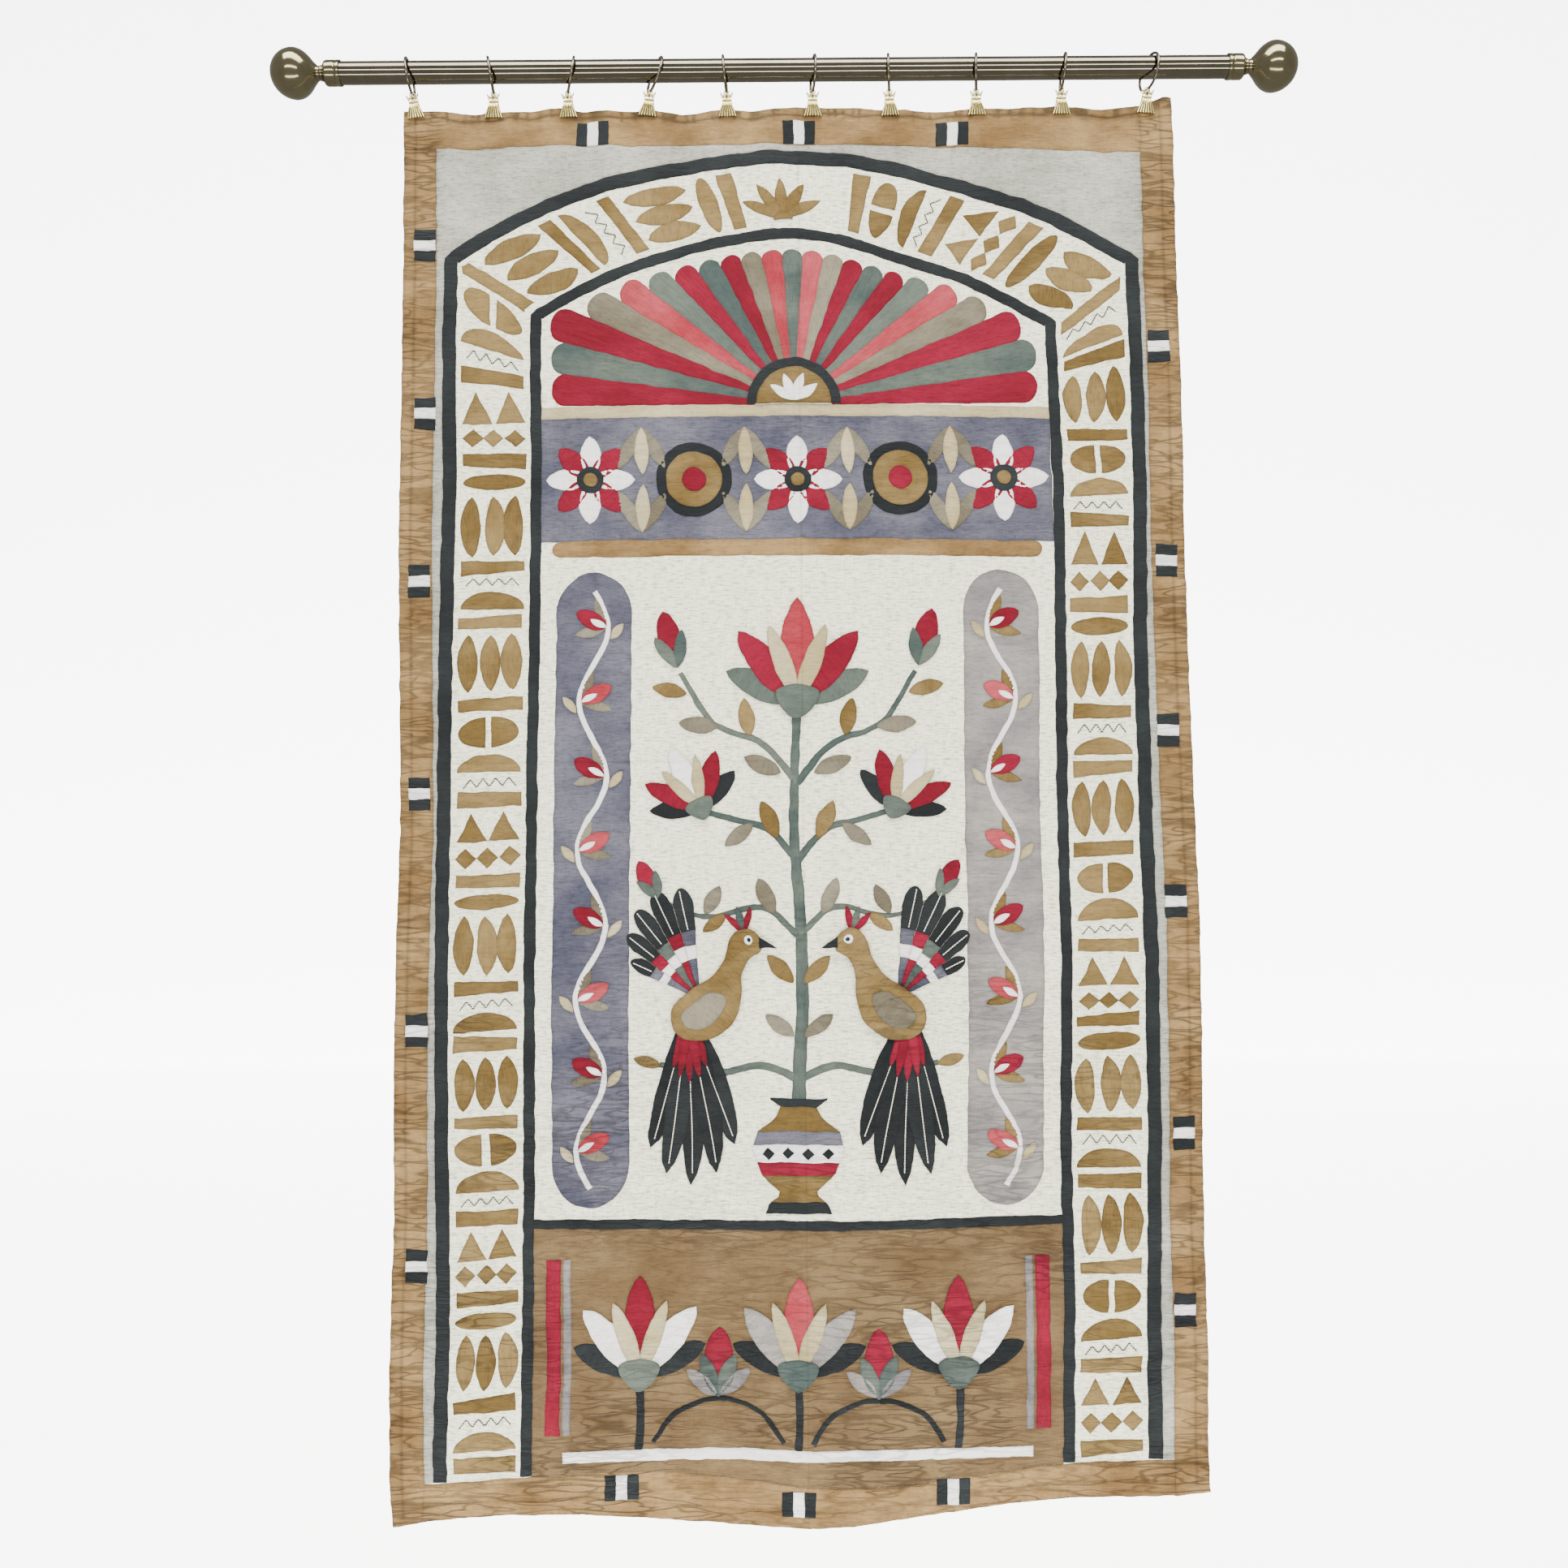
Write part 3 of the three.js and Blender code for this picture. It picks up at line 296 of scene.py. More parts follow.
    def folds(self, x: Points, z: Points) -> Points:
        """The cloth's big folds alone, as Y in millimetres, so forward is negative."""
        x, z = np.asarray(x, float), np.asarray(z, float)
        drop = np.maximum(0, -50 - z)
        forward = np.zeros(np.broadcast(x, z).shape)
        fade = np.exp(-((drop / BELLY_FADE) ** 2))
        for belly, here, after in zip(BELLIES, HANGERS, HANGERS[1:]):
            start = here[0] + CLIP_FLAT_HALF_WIDTH
            end = after[0] - CLIP_FLAT_HALF_WIDTH
            share = np.clip((x - start) / (end - start), 0, 1)
            forward += belly * np.sin(math.pi * share) ** 2 * fade
        for middle, reach, height, begins, full in RIDGES:
            growth = smooth_step((begins - z) / (begins - full))
            forward += height * growth * np.exp(-(((x - middle) / reach) ** 2))
        loose = smooth_step((drop - 30) / 120)
        forward += 2.2 * loose * np.exp(-np.abs(x - CREASE_X) / 16)
        forward += 1.6 * loose * np.exp(-np.abs(z - CREASE_Z) / 14)
        for middle, height, reach, curl in CURLS:
            forward += curl * np.exp(-((x - middle) ** 2 + (z - height) ** 2) / reach**2)
        return -forward


HUNG = HungCloth()


class Cotton(Enum):
    """The dyed and undyed cottons, each with the colour it has faded to."""

    CREAM = "cream_canvas"
    WHITE = "white_cotton"
    TAN = "tan_cotton"
    SAND = "sand_cotton"
    BROWN = "brown_cotton"
    BLACK = "black_cotton"
    GREY = "grey_cotton"
    VIOLET = "violet_cotton"
    STONE = "stone_cotton"
    CRIMSON = "crimson_cotton"
    CORAL = "coral_cotton"
    GREEN = "green_cotton"
    TAUPE = "taupe_cotton"
    BEIGE = "beige_cotton"


# ---- finishes


def linear(hex_colour: str) -> tuple[float, float, float, float]:
    """Turns an sRGB hex colour into the linear one that the shaders take."""
    channels = [int(hex_colour[i : i + 2], 16) / 255 for i in (0, 2, 4)]
    curve = [c / 12.92 if c <= 0.04045 else ((c + 0.055) / 1.055) ** 2.4 for c in channels]
    return (curve[0], curve[1], curve[2], 1.0)


def add_node(
    tree: bpy.types.NodeTree, kind: str, settings: dict | None = None, links: dict | None = None
) -> bpy.types.Node:
    """Adds a node to a tree, with its settings and what feeds it.

    Args:
        tree: the node tree.
        kind: the node's type name.
        settings: attribute or input names (or input numbers) with their values.
        links: input names or numbers with the sockets that feed them.

    Returns:
        The new node.
    """
    node = tree.nodes.new(kind)
    for key, value in (settings or {}).items():
        if isinstance(key, str) and hasattr(node, key):
            setattr(node, key, value)
        else:
            node.inputs[key].default_value = value
    for key, source in (links or {}).items():
        tree.links.new(source, node.inputs[key])
    return node


def blank_material(name: str) -> tuple[bpy.types.Material, Callable[..., bpy.types.Node]]:
    """A new material with an empty node tree.

    Args:
        name: its name.

    Returns:
        The material, and add_node for its tree.
    """
    material = bpy.data.materials.new(name)
    material.use_nodes = True
    material.node_tree.nodes.clear()
    return material, partial(add_node, material.node_tree)


@dataclass(frozen=True)
class CottonFinish:
    """Plain-weave cotton: matt, with slubs along the weft, faded patches, crinkles and puckers.

    The weft runs along the piece's own weave map, which is in metres. The puckers run level across
    the whole hanging, over seam and patch alike, as deep as the attribute "drawn" says.
    """

    name: str
    colour: str
    faded: str
    fading: float = 0.35
    slub: float = 0.25
    crinkle_mm: float = 0.5
    # How strongly painted shade darkens the creases, puckers and turned edges
    crease_shade: float = 0.45
    roughness: float = 0.92

    def make(self) -> bpy.types.Material:
        """Builds the material.

        Returns:
            The finished material.
        """
        material, add = blank_material(self.name)
        weave = add("ShaderNodeUVMap", {"uv_map": "weave"}).outputs[0]
        tone, clean, drawn = (
            add("ShaderNodeAttribute", {"attribute_name": name}).outputs["Fac"]
            for name in ("tone", "clean", "drawn")
        )
        place = add("ShaderNodeTexCoord").outputs["Object"]

        def noise(bumps: tuple[float, float, float], detail: float, source: Socket) -> Socket:
            """Noise stretched to a number of bumps per metre along each direction."""
            spread = add("ShaderNodeMapping", {"Scale": bumps}, {"Vector": source}).outputs[0]
            look = {"Scale": 1.0, "Detail": detail, "Roughness": 0.6}
            return add("ShaderNodeTexNoise", look, {"Vector": spread}).outputs["Fac"]

        def off_line(source: Socket, line: float) -> Socket:
            """How far a value is from the one on a line."""
            away = add("ShaderNodeMath", {"operation": "SUBTRACT", 1: line}, {0: source})
            return add("ShaderNodeMath", {"operation": "ABSOLUTE"}, {0: away.outputs[0]}).outputs[0]

        # Faded patches are a hand wide. The slubs are 2 mm thick and about a centimetre long,
        # which is coarser than the real 0.7 mm yarn, so that they show
        mottle = noise((9, 9, 14), 5, place)
        slubs = noise((100, 480, 1), 2, weave)
        cross = noise((420, 60, 1), 2, weave)
        creases = noise((26, 120, 1), 3, weave)

        # Puckers are thin lines where a stretched noise crosses its middle value
        valleys = []
        for bumps in ((9, 20, 52), (16, 20, 86)):
            span = {
                "interpolation_type": "SMOOTHSTEP", "From Max": 0.05, "To Min": 1.0, "To Max": 0.0
            }
            near = off_line(noise(bumps, 1, place), 0.5)
            valleys.append(add("ShaderNodeMapRange", span, {"Value": near}).outputs[0])
        lines = add("ShaderNodeMath", {"operation": "MAXIMUM"}, dict(enumerate(valleys))).outputs[0]
        puckers = add("ShaderNodeMath", {"operation": "MULTIPLY"}, {0: lines, 1: drawn}).outputs[0]

        span = {"From Min": 0.36, "From Max": 0.64, "To Max": self.fading}
        fade = add("ShaderNodeMapRange", span, {"Value": mottle}).outputs[0]
        toning = {"operation": "MULTIPLY_ADD", "use_clamp": True, 1: self.fading}
        faded = add("ShaderNodeMath", toning, {0: tone, 2: fade}).outputs[0]
        dyes = {"data_type": "RGBA", 6: linear(self.colour), 7: linear(self.faded)}
        colour = add("ShaderNodeMix", dyes, {0: faded}).outputs[2]

        # The yarn darkens it, and painted shade darkens the creases, puckers, fold lines and turned
        # edges
        at = add("ShaderNodeSeparateXYZ", {}, {0: place}).outputs
        for source, darkest, clear, loss in (
            (slubs, 0.33, 0.52, self.slub), (cross, 0.3, 0.7, 0.4 * self.slub),
            (creases, 0.33, 0.55, 0.3 * self.crease_shade), (puckers, 1.0, 0.0, 0.85 * self.crease_shade),
            (off_line(at["X"], CREASE_X * MM), 0.0, CREASE_SHADE_WIDTH * MM, 0.16),
            (off_line(at["Z"], CREASE_Z * MM), 0.0, CREASE_SHADE_WIDTH * MM, 0.16),
            (clean, 0.0, 1.0, self.crease_shade)
        ):
            span = {"From Min": darkest, "From Max": clear, "To Min": 1 - loss}
            left = add("ShaderNodeMapRange", span, {"Value": source}).outputs[0]
            shaded = {0: colour, "Scale": left}
            colour = add("ShaderNodeVectorMath", {"operation": "SCALE"}, shaded).outputs[0]

        raised = {0: slubs, 2: creases}
        relief = add("ShaderNodeMath", {"operation": "MULTIPLY_ADD", 1: 0.25}, raised).outputs[0]
        crinkle = {"Strength": 1.0, "Distance": self.crinkle_mm * MM * 2.4}
        fine = add("ShaderNodeBump", crinkle, {"Height": relief}).outputs[0]
        pucker = {"Strength": 1.0, "Distance": PUCKER_DEPTH * MM, "invert": True}
        bump = add("ShaderNodeBump", pucker, {"Height": puckers, "Normal": fine}).outputs[0]
        look = {"Roughness": self.roughness, "Specular IOR Level": 0.2, "Sheen Weight": 0.08}
        shader = add("ShaderNodeBsdfPrincipled", look, {"Base Color": colour, "Normal": bump})
        add("ShaderNodeOutputMaterial", {}, {"Surface": shader.outputs[0]})
        return material


COTTONS = {
    Cotton.CREAM: CottonFinish("slubby_cream_canvas", "FFFEE0", "FBF8DA", 0.6, 0.46, 0.6, 0.3),
    Cotton.WHITE: CottonFinish("bleached_white_cotton", "F2F0EA", "E6E2D7", 0.4, 0.1, 0.5, 0.35),
    Cotton.TAN: CottonFinish("tan_dyed_cotton", "6E522C", "9A7C50", 0.95, 0.2, 0.9, 0.65),
    Cotton.SAND: CottonFinish("sand_dyed_cotton", "665026", "866F44", 0.95, 0.22, 0.8, 0.6),
    Cotton.BROWN: CottonFinish("brown_dyed_cotton", "5C462A", "786242", 0.9, 0.2, 0.9, 0.55),
    Cotton.BLACK: CottonFinish("black_dyed_cotton", "171A1B", "262A2B", 0.7, 0.2, 0.8, 0.3),
    Cotton.GREY: CottonFinish("faded_grey_cotton", "959587", "B6B5A6", 0.9, 0.36, 0.7),
    Cotton.VIOLET: CottonFinish("faded_violet_cotton", "424352", "67656F", 0.95, 0.3, 0.9, 0.55),
    Cotton.STONE: CottonFinish("stone_grey_cotton", "706B6B", "948E87", 0.95, 0.2, 0.9, 0.5),
    Cotton.CRIMSON: CottonFinish("crimson_dyed_cotton", "6C061C", "84122C", 0.8, 0.2, 0.8),
    Cotton.CORAL: CottonFinish("coral_dyed_cotton", "962A34", "AC484E", 0.9, 0.2, 0.8),
    Cotton.GREEN: CottonFinish("grey_green_cotton", "3E4A46", "5C6459", 0.95, 0.2, 0.8),
    Cotton.TAUPE: CottonFinish("olive_taupe_cotton", "625A48", "827B68", 0.95, 0.2, 0.9),
    Cotton.BEIGE: CottonFinish("beige_dyed_cotton", "A8986D", "BEB18C", 0.9, 0.18, 0.7),
}


@dataclass(frozen=True)
class MetalFinish:
    """Plated and polished metal, with fine wear where hands and rings rub it."""

    name: str
    colour: str
    worn: str
    roughness: float
    wear_per_metre: float
    bump_mm: float = 0.02
    # Colour of the tarnish and painted shade in the recesses
    tarnish_and_shade: str = "2A2418"

    def make(self) -> bpy.types.Material:
        """Builds the material.

        Returns:
            The finished material.
        """
        material, add = blank_material(self.name)
        place = add("ShaderNodeTexCoord").outputs["Object"]
        spots = {"Scale": self.wear_per_metre, "Detail": 6.0, "Roughness": 0.65}
        wear = add("ShaderNodeTexNoise", spots, {"Vector": place}).outputs["Fac"]
        smooth, rough = self.roughness * 0.8, self.roughness * 1.3
        share, roughness = (
            add(
                "ShaderNodeMapRange",
                {"From Min": low, "From Max": high, "To Min": least, "To Max": most},
                {"Value": wear},
            ).outputs[0]
            for low, high, least, most in ((0.45, 0.75, 0.0, 0.8), (0.3, 0.7, smooth, rough))
        )
        plating = {"data_type": "RGBA", 6: linear(self.colour), 7: linear(self.worn)}
        plated = add("ShaderNodeMix", plating, {0: share}).outputs[2]
        # Painted shade darkens the recesses, together with the tarnish that no hand or ring rubs
        # off there
        recess = add("ShaderNodeAttribute", {"attribute_name": "recess"}).outputs["Fac"]
        dark = {"data_type": "RGBA", 7: linear(self.tarnish_and_shade)}
        colour = add("ShaderNodeMix", dark, {0: recess, 6: plated}).outputs[2]
        dents = {"Strength": 0.6, "Distance": self.bump_mm * MM}
        bump = add("ShaderNodeBump", dents, {"Height": wear}).outputs[0]
        fed = {"Base Color": colour, "Roughness": roughness, "Normal": bump}
        shader = add("ShaderNodeBsdfPrincipled", {"Metallic": 1.0}, fed)
        add("ShaderNodeOutputMaterial", {}, {"Surface": shader.outputs[0]})
        return material


# Dark antique-brass plating on a polished steel tube mirrors the room in long bands
POLE_FINISH = MetalFinish("antique_plated_pole", "78715F", "857D6C", 0.07, 35, 0.004)
BALL_FINISH = MetalFinish("antique_brass_ball", "8A8264", "786F55", 0.14, 50, 0.004)
RING_FINISH = MetalFinish("worn_plated_wire", "7C7362", "5E5646", 0.25, 240)
CLIP_FINISH = MetalFinish("pale_polished_brass", "F2E4A4", "DCC67C", 0.27, 320)


@dataclass(frozen=True)
class ThreadFinish:
    """Stranded cotton thread: matt, with a slight change of shade from stitch to stitch."""

    name: str
    colour: str

    def make(self) -> bpy.types.Material:
        """Builds the material.

        Returns:
            The finished material.
        """
        material, add = blank_material(self.name)
        place = add("ShaderNodeTexCoord").outputs["Object"]
        fibre = {"Scale": 900.0, "Detail": 1.0}
        strand = add("ShaderNodeTexNoise", fibre, {"Vector": place}).outputs["Fac"]
        light = linear(self.colour)
        dark = (*(0.6 * channel for channel in light[:3]), 1.0)
        dyes = {"data_type": "RGBA", 6: dark, 7: light}
        colour = add("ShaderNodeMix", dyes, {0: strand}).outputs[2]
        look = {"Roughness": 0.8, "Specular IOR Level": 0.25}
        shader = add("ShaderNodeBsdfPrincipled", look, {"Base Color": colour})
        add("ShaderNodeOutputMaterial", {}, {"Surface": shader.outputs[0]})
        return material


class Thread(Enum):
    """The sewing and embroidery threads."""

    BLACK = ThreadFinish("black_thread", "34363A")
    CREAM = ThreadFinish("cream_thread", "EFE9D8")


# ---- flat shapes, in millimetres, each going round its outline anticlockwise


def arc(middle: Pair, radii: Pair, start: float, end: float, steps: int) -> Points:
    """Points along part of an ellipse.

    Args:
        middle: its middle.
        radii: its half width and half height.
        start: the first angle, in degrees.
        end: the last angle, in degrees.
        steps: the number of steps between them.

    Returns:
        The points, both ends included.
    """
    angle = np.radians(np.linspace(start, end, steps + 1))
    return np.stack((middle[0] + radii[0] * np.cos(angle), middle[1] + radii[1] * np.sin(angle)), 1)


def oval(width: float, height: float) -> Points:
    """A disc or oval about the origin."""
    return arc((0, 0), (width / 2, height / 2), 0, 360, 36)[:-1]


def bar(width: float, height: float) -> Points:
    """An upright rectangle about the origin."""
    return np.array(((-1, -1), (1, -1), (1, 1), (-1, 1))) * (width / 2, height / 2)


def lozenge(width: float, height: float) -> Points:
    """A diamond about the origin."""
    return np.array(((0, -1), (1, 0), (0, 1), (-1, 0))) * (width / 2, height / 2)


def triangle(width: float, height: float) -> Points:
    """A triangle that stands on the origin."""
    return np.array(((-width / 2, 0), (width / 2, 0), (0, height)))


def half_disc(width: float, height: float) -> Points:
    """The upper half of an oval, standing on the origin."""
    return arc((0, 0), (width / 2, height), 0, 180, 18)


def leaf(length: float, width: float, lean: float = 0.0, belly: float = 0.8) -> Points:
    """A pointed leaf that grows up from the origin.

    Args:
        length: its length.
        width: its width.
        lean: how far its middle bends to the right.
        belly: under 1 makes it fuller, over 1 slimmer towards its ends.

    Returns:
        Its outline.
    """
    share = np.linspace(0, 1, 15)
    half = width / 2 * np.sin(math.pi * share) ** belly
    middle = lean * np.sin(math.pi * share)
    right = np.stack((middle + half, share * length), 1)
    left = np.stack((middle - half, share * length), 1)
    return np.concatenate((right, left[-2:0:-1]))


def spline(a: Points, b: Points, c: Points, d: Points, share: Points | float) -> Points:
    """Points between b and c on the smooth line that passes a, b, c and d."""
    bend, twist = 2 * a - 5 * b + 4 * c - d, 3 * b - a - 3 * c + d
    return 0.5 * (2 * b + (c - a) * share + bend * share**2 + twist * share**3)


def closed_curve(points: Sequence[Pair], steps: int = 5) -> Points:
    """A smooth closed line through a few points."""
    around = [np.roll(np.array(points, float), shift, 0) for shift in (1, 0, -1, -2)]
    return np.stack(
        [spline(*around, share) for share in np.arange(steps) / steps], 1
    ).reshape(-1, 2)


def travelled(line: Points) -> Points:
    """How far along a line each of its points is."""
    return np.concatenate(((0,), np.cumsum(np.linalg.norm(np.diff(line, axis=0), axis=1))))


def along_line(line: Points, run: Points, distances: Points) -> Points:
    """The places of a line at distances along it, where run is how far each of its points is."""
    return np.stack([np.interp(distances, run, line[:, axis]) for axis in (0, 1)], 1)


def resampled(line: Points, count: int) -> Points:
    """A line with a given number of evenly spaced points."""
    run = travelled(line)
    return along_line(line, run, np.linspace(0, run[-1], count))


def open_curve(points: Sequence[Pair], spacing: float = 4.0) -> Points:
    """A smooth open line through a few points, evenly spaced."""
    knots = np.array(points, float)
    if len(knots) > 2:
        padded = np.concatenate((2 * knots[:1] - knots[1:2], knots, 2 * knots[-1:] - knots[-2:-1]))
        share = np.linspace(0, 1, 9)[:-1, None]
        parts = [spline(*four, share) for four in zip(padded, padded[1:], padded[2:], padded[3:])]
        knots = np.concatenate((*parts, knots[-1:]))
    return resampled(knots, max(2, int(round(travelled(knots)[-1] / spacing)) + 1))


def side_step(line: Points, distance: float | Points) -> Points:
    """A line moved to its left by a distance."""
    along = np.gradient(line, axis=0)
    along /= np.linalg.norm(along, axis=1, keepdims=True)
    normal = np.stack((-along[:, 1], along[:, 0]), 1)
    return line + normal * np.reshape(distance, (-1, 1))


def ribbon(line: Points, width: float | Points) -> Points:
    """A strip of cloth that follows a line."""
    half = np.broadcast_to(np.asarray(width, float) / 2, len(line))
    return np.concatenate((side_step(line, -half), side_step(line, half)[::-1]))


def moved(
    shape: Points, x: float, z: float, turn: float = 0.0, size: float = 1.0, mirror: bool = False
) -> Points:
    """A shape scaled, mirrored, turned and put in its place.

    Args:
        shape: the outline or line.
        x: place across.
        z: height.
        turn: anticlockwise turn, in degrees.
        size: scale.
        mirror: swaps left and right first.

    Returns:
        The moved shape.
    """
    shape = np.array(shape, float) * size
    if mirror:
        shape = shape[::-1] * (-1, 1)
    c, s = math.cos(math.radians(turn)), math.sin(math.radians(turn))
    return shape @ np.array(((c, s), (-s, c))) + (x, z)


# ---- where the shapes go on the hung cloth


class Ground:
    """Places shapes straight on the hung cloth."""

    def warp(self, shape: Points) -> Points:
        """Returns the shape as it is."""
        return shape


class InnerField:
    """Places shapes inside the inner band, stretched to its uneven width."""

    def warp(self, shape: Points) -> Points:
        """Moves a shape from the even field to the hung one.

        Args:
            shape: points with x from minus to plus the field's half width.

        Returns:
            The points on the hung cloth.
        """
        x, z = shape[:, 0], shape[:, 1]
        left = HUNG.leg(2, z) + INNER_BAND_WIDTH / 2
        right = HUNG.leg(3, z) - INNER_BAND_WIDTH / 2
        across = (left + right) / 2 + x / FIELD_HALF_WIDTH * (right - left) / 2
        across = across + 1.2 * Crumple(21, (90, 70)).at(x, z)
        height = z + 1.2 * Crumple(22, (80, 90)).at(x, z)
        return np.stack((across, height), 1)


def arched_line(arch: Sequence[Pair], columns: tuple[int, int]) -> Points:
    """The middle line of an arched band, up its left leg, over the arch and down its right leg.

    Args:
        arch: places on the arch, from shoulder to shoulder.
        columns: the legs' columns in the table.

    Returns:
        The line's points, as many for each of the two bands.
    """
    over = resampled(open_curve(arch), 161)
    legs = []
    for column_number, (x, shoulder) in zip(columns, (arch[0], arch[-1])):
        foot = float(HUNG.bottom_seam(BAND_LEGS[-1, column_number])) + 1.2
        z = np.concatenate((np.linspace(shoulder, -420, 9)[:-1], np.linspace(-420, foot, 80)))
        heights = np.concatenate(((-shoulder,), -BAND_LEGS[:, 0]))
        places = np.interp(-z, heights, np.concatenate(((x,), BAND_LEGS[:, column_number])))
        legs.append(np.stack((places, z), 1))
    return np.concatenate((legs[0][::-1], over[1:-1], legs[1]))


class ArchedBand:
    """Places shapes in the cream band between the two arches, along it and across it."""

    def __init__(self) -> None:
        """Finds the band's two edges and its length."""
        self.outer = side_step(arched_line(OUTER_ARCH, (1, 4)), -OUTER_BAND_WIDTH / 2)
        self.inner = side_step(arched_line(INNER_ARCH, (2, 3)), INNER_BAND_WIDTH / 2)
        middle = (self.outer + self.inner) / 2
        self.run = travelled(middle)
        self.length = float(self.run[-1])
        self.nominal = 94.0

    def warp(self, shape: Points) -> Points:
        """Moves a shape from a straight band to the arched one.

        Args:
            shape: points with x across the band, to its outside when negative, and z along it.

        Returns:
            The points on the hung cloth.
        """
        along, share = shape[:, 1], shape[:, 0] / self.nominal + 0.5
        ends = [along_line(line, self.run, along) for line in (self.outer, self.inner)]
        return ends[0] + (ends[1] - ends[0]) * share[:, None]


Place = Ground | InnerField | ArchedBand


# ---- cloth pieces


@dataclass
class Patch:
    """One piece of cloth to sew on: its cotton, its outline on the hung cloth and its level."""

    cotton: Cotton
    outline: Points
    level: int = 0
    grain: float = 0.0
    spacing: float = 4.6
    creases: list[tuple[Points, float]] = field(default_factory=list)


@dataclass
class Layout:
    """Collects the patches and the lines of thread of the whole hanging."""

    patches: list[Patch] = field(default_factory=list)
    threads: dict[Thread, list[tuple[Points, int]]] = field(default_factory=dict)

    def sew(
        self, place: Place, cotton: Cotton, shape: Points, level: int = 0, grain: float = 0.0
    ) -> None:
        """Adds a patch.

        Args:
            place: what the shape is placed on.
            cotton: its cloth.
            shape: its outline there.
            level: how many cloths lie under it.
            grain: the turn of its weave, in degrees.
        """
        self.patches.append(Patch(cotton, place.warp(even_outline(shape, 5.0)), level, grain))

    def stitch(self, place: Place, thread: Thread, line: Points, level: int = 0) -> None:
        """Adds a line of thread."""
        self.threads.setdefault(thread, []).append((place.warp(np.asarray(line, float)), level))


def even_outline(outline: Points, step: float) -> Points:
    """Adds points to a closed outline so that none of its sides is longer than a step."""
    parts = []
    for a, b in zip(outline, np.roll(outline, -1, 0)):
        count = max(1, int(math.ceil(np.linalg.norm(b - a) / step)))
        share = np.arange(count)[:, None] / count
        parts.append(a + (b - a) * share)
    return np.concatenate(parts)


def turned_in(outline: Points) -> Points:
    """The outline going anticlockwise, whichever way it came."""
    x, z = outline[:, 0], outline[:, 1]
    area = np.sum(x * np.roll(z, -1) - np.roll(x, -1) * z)
    return outline if area > 0 else outline[::-1]


def rim_distance(points: Points, outline: Points) -> tuple[Points, Points]:
    """How far points are from an outline, and which are inside it.

    Args:
        points: the places to measure.
        outline: a closed outline.

    Returns:
        The distances, and True for each point inside.
    """
    a, b = outline, np.roll(outline, -1, 0)
    ab = b - a
    squared = np.maximum((ab**2).sum(1), TINY)
    rise = np.where(ab[:, 1] == 0, TINY, ab[:, 1])
    distance = np.zeros(len(points))
    inside = np.zeros(len(points), bool)
    chunks = max(1, len(points) * len(outline) // MOST_PAIRS)
    for chunk in np.array_split(np.arange(len(points)), chunks):
        px, pz = points[chunk, 0][:, None], points[chunk, 1][:, None]
        along = np.clip(((px - a[:, 0]) * ab[:, 0] + (pz - a[:, 1]) * ab[:, 1]) / squared, 0, 1)
        dx = px - (a[:, 0] + along * ab[:, 0])
        dz = pz - (a[:, 1] + along * ab[:, 1])
        distance[chunk] = np.sqrt((dx * dx + dz * dz).min(1))
        spans = (a[:, 1] > pz) != (b[:, 1] > pz)
        cross = a[:, 0] + (pz - a[:, 1]) * ab[:, 0] / rise
        inside[chunk] = (spans & (px < cross)).sum(1) % 2 == 1
    return distance, inside


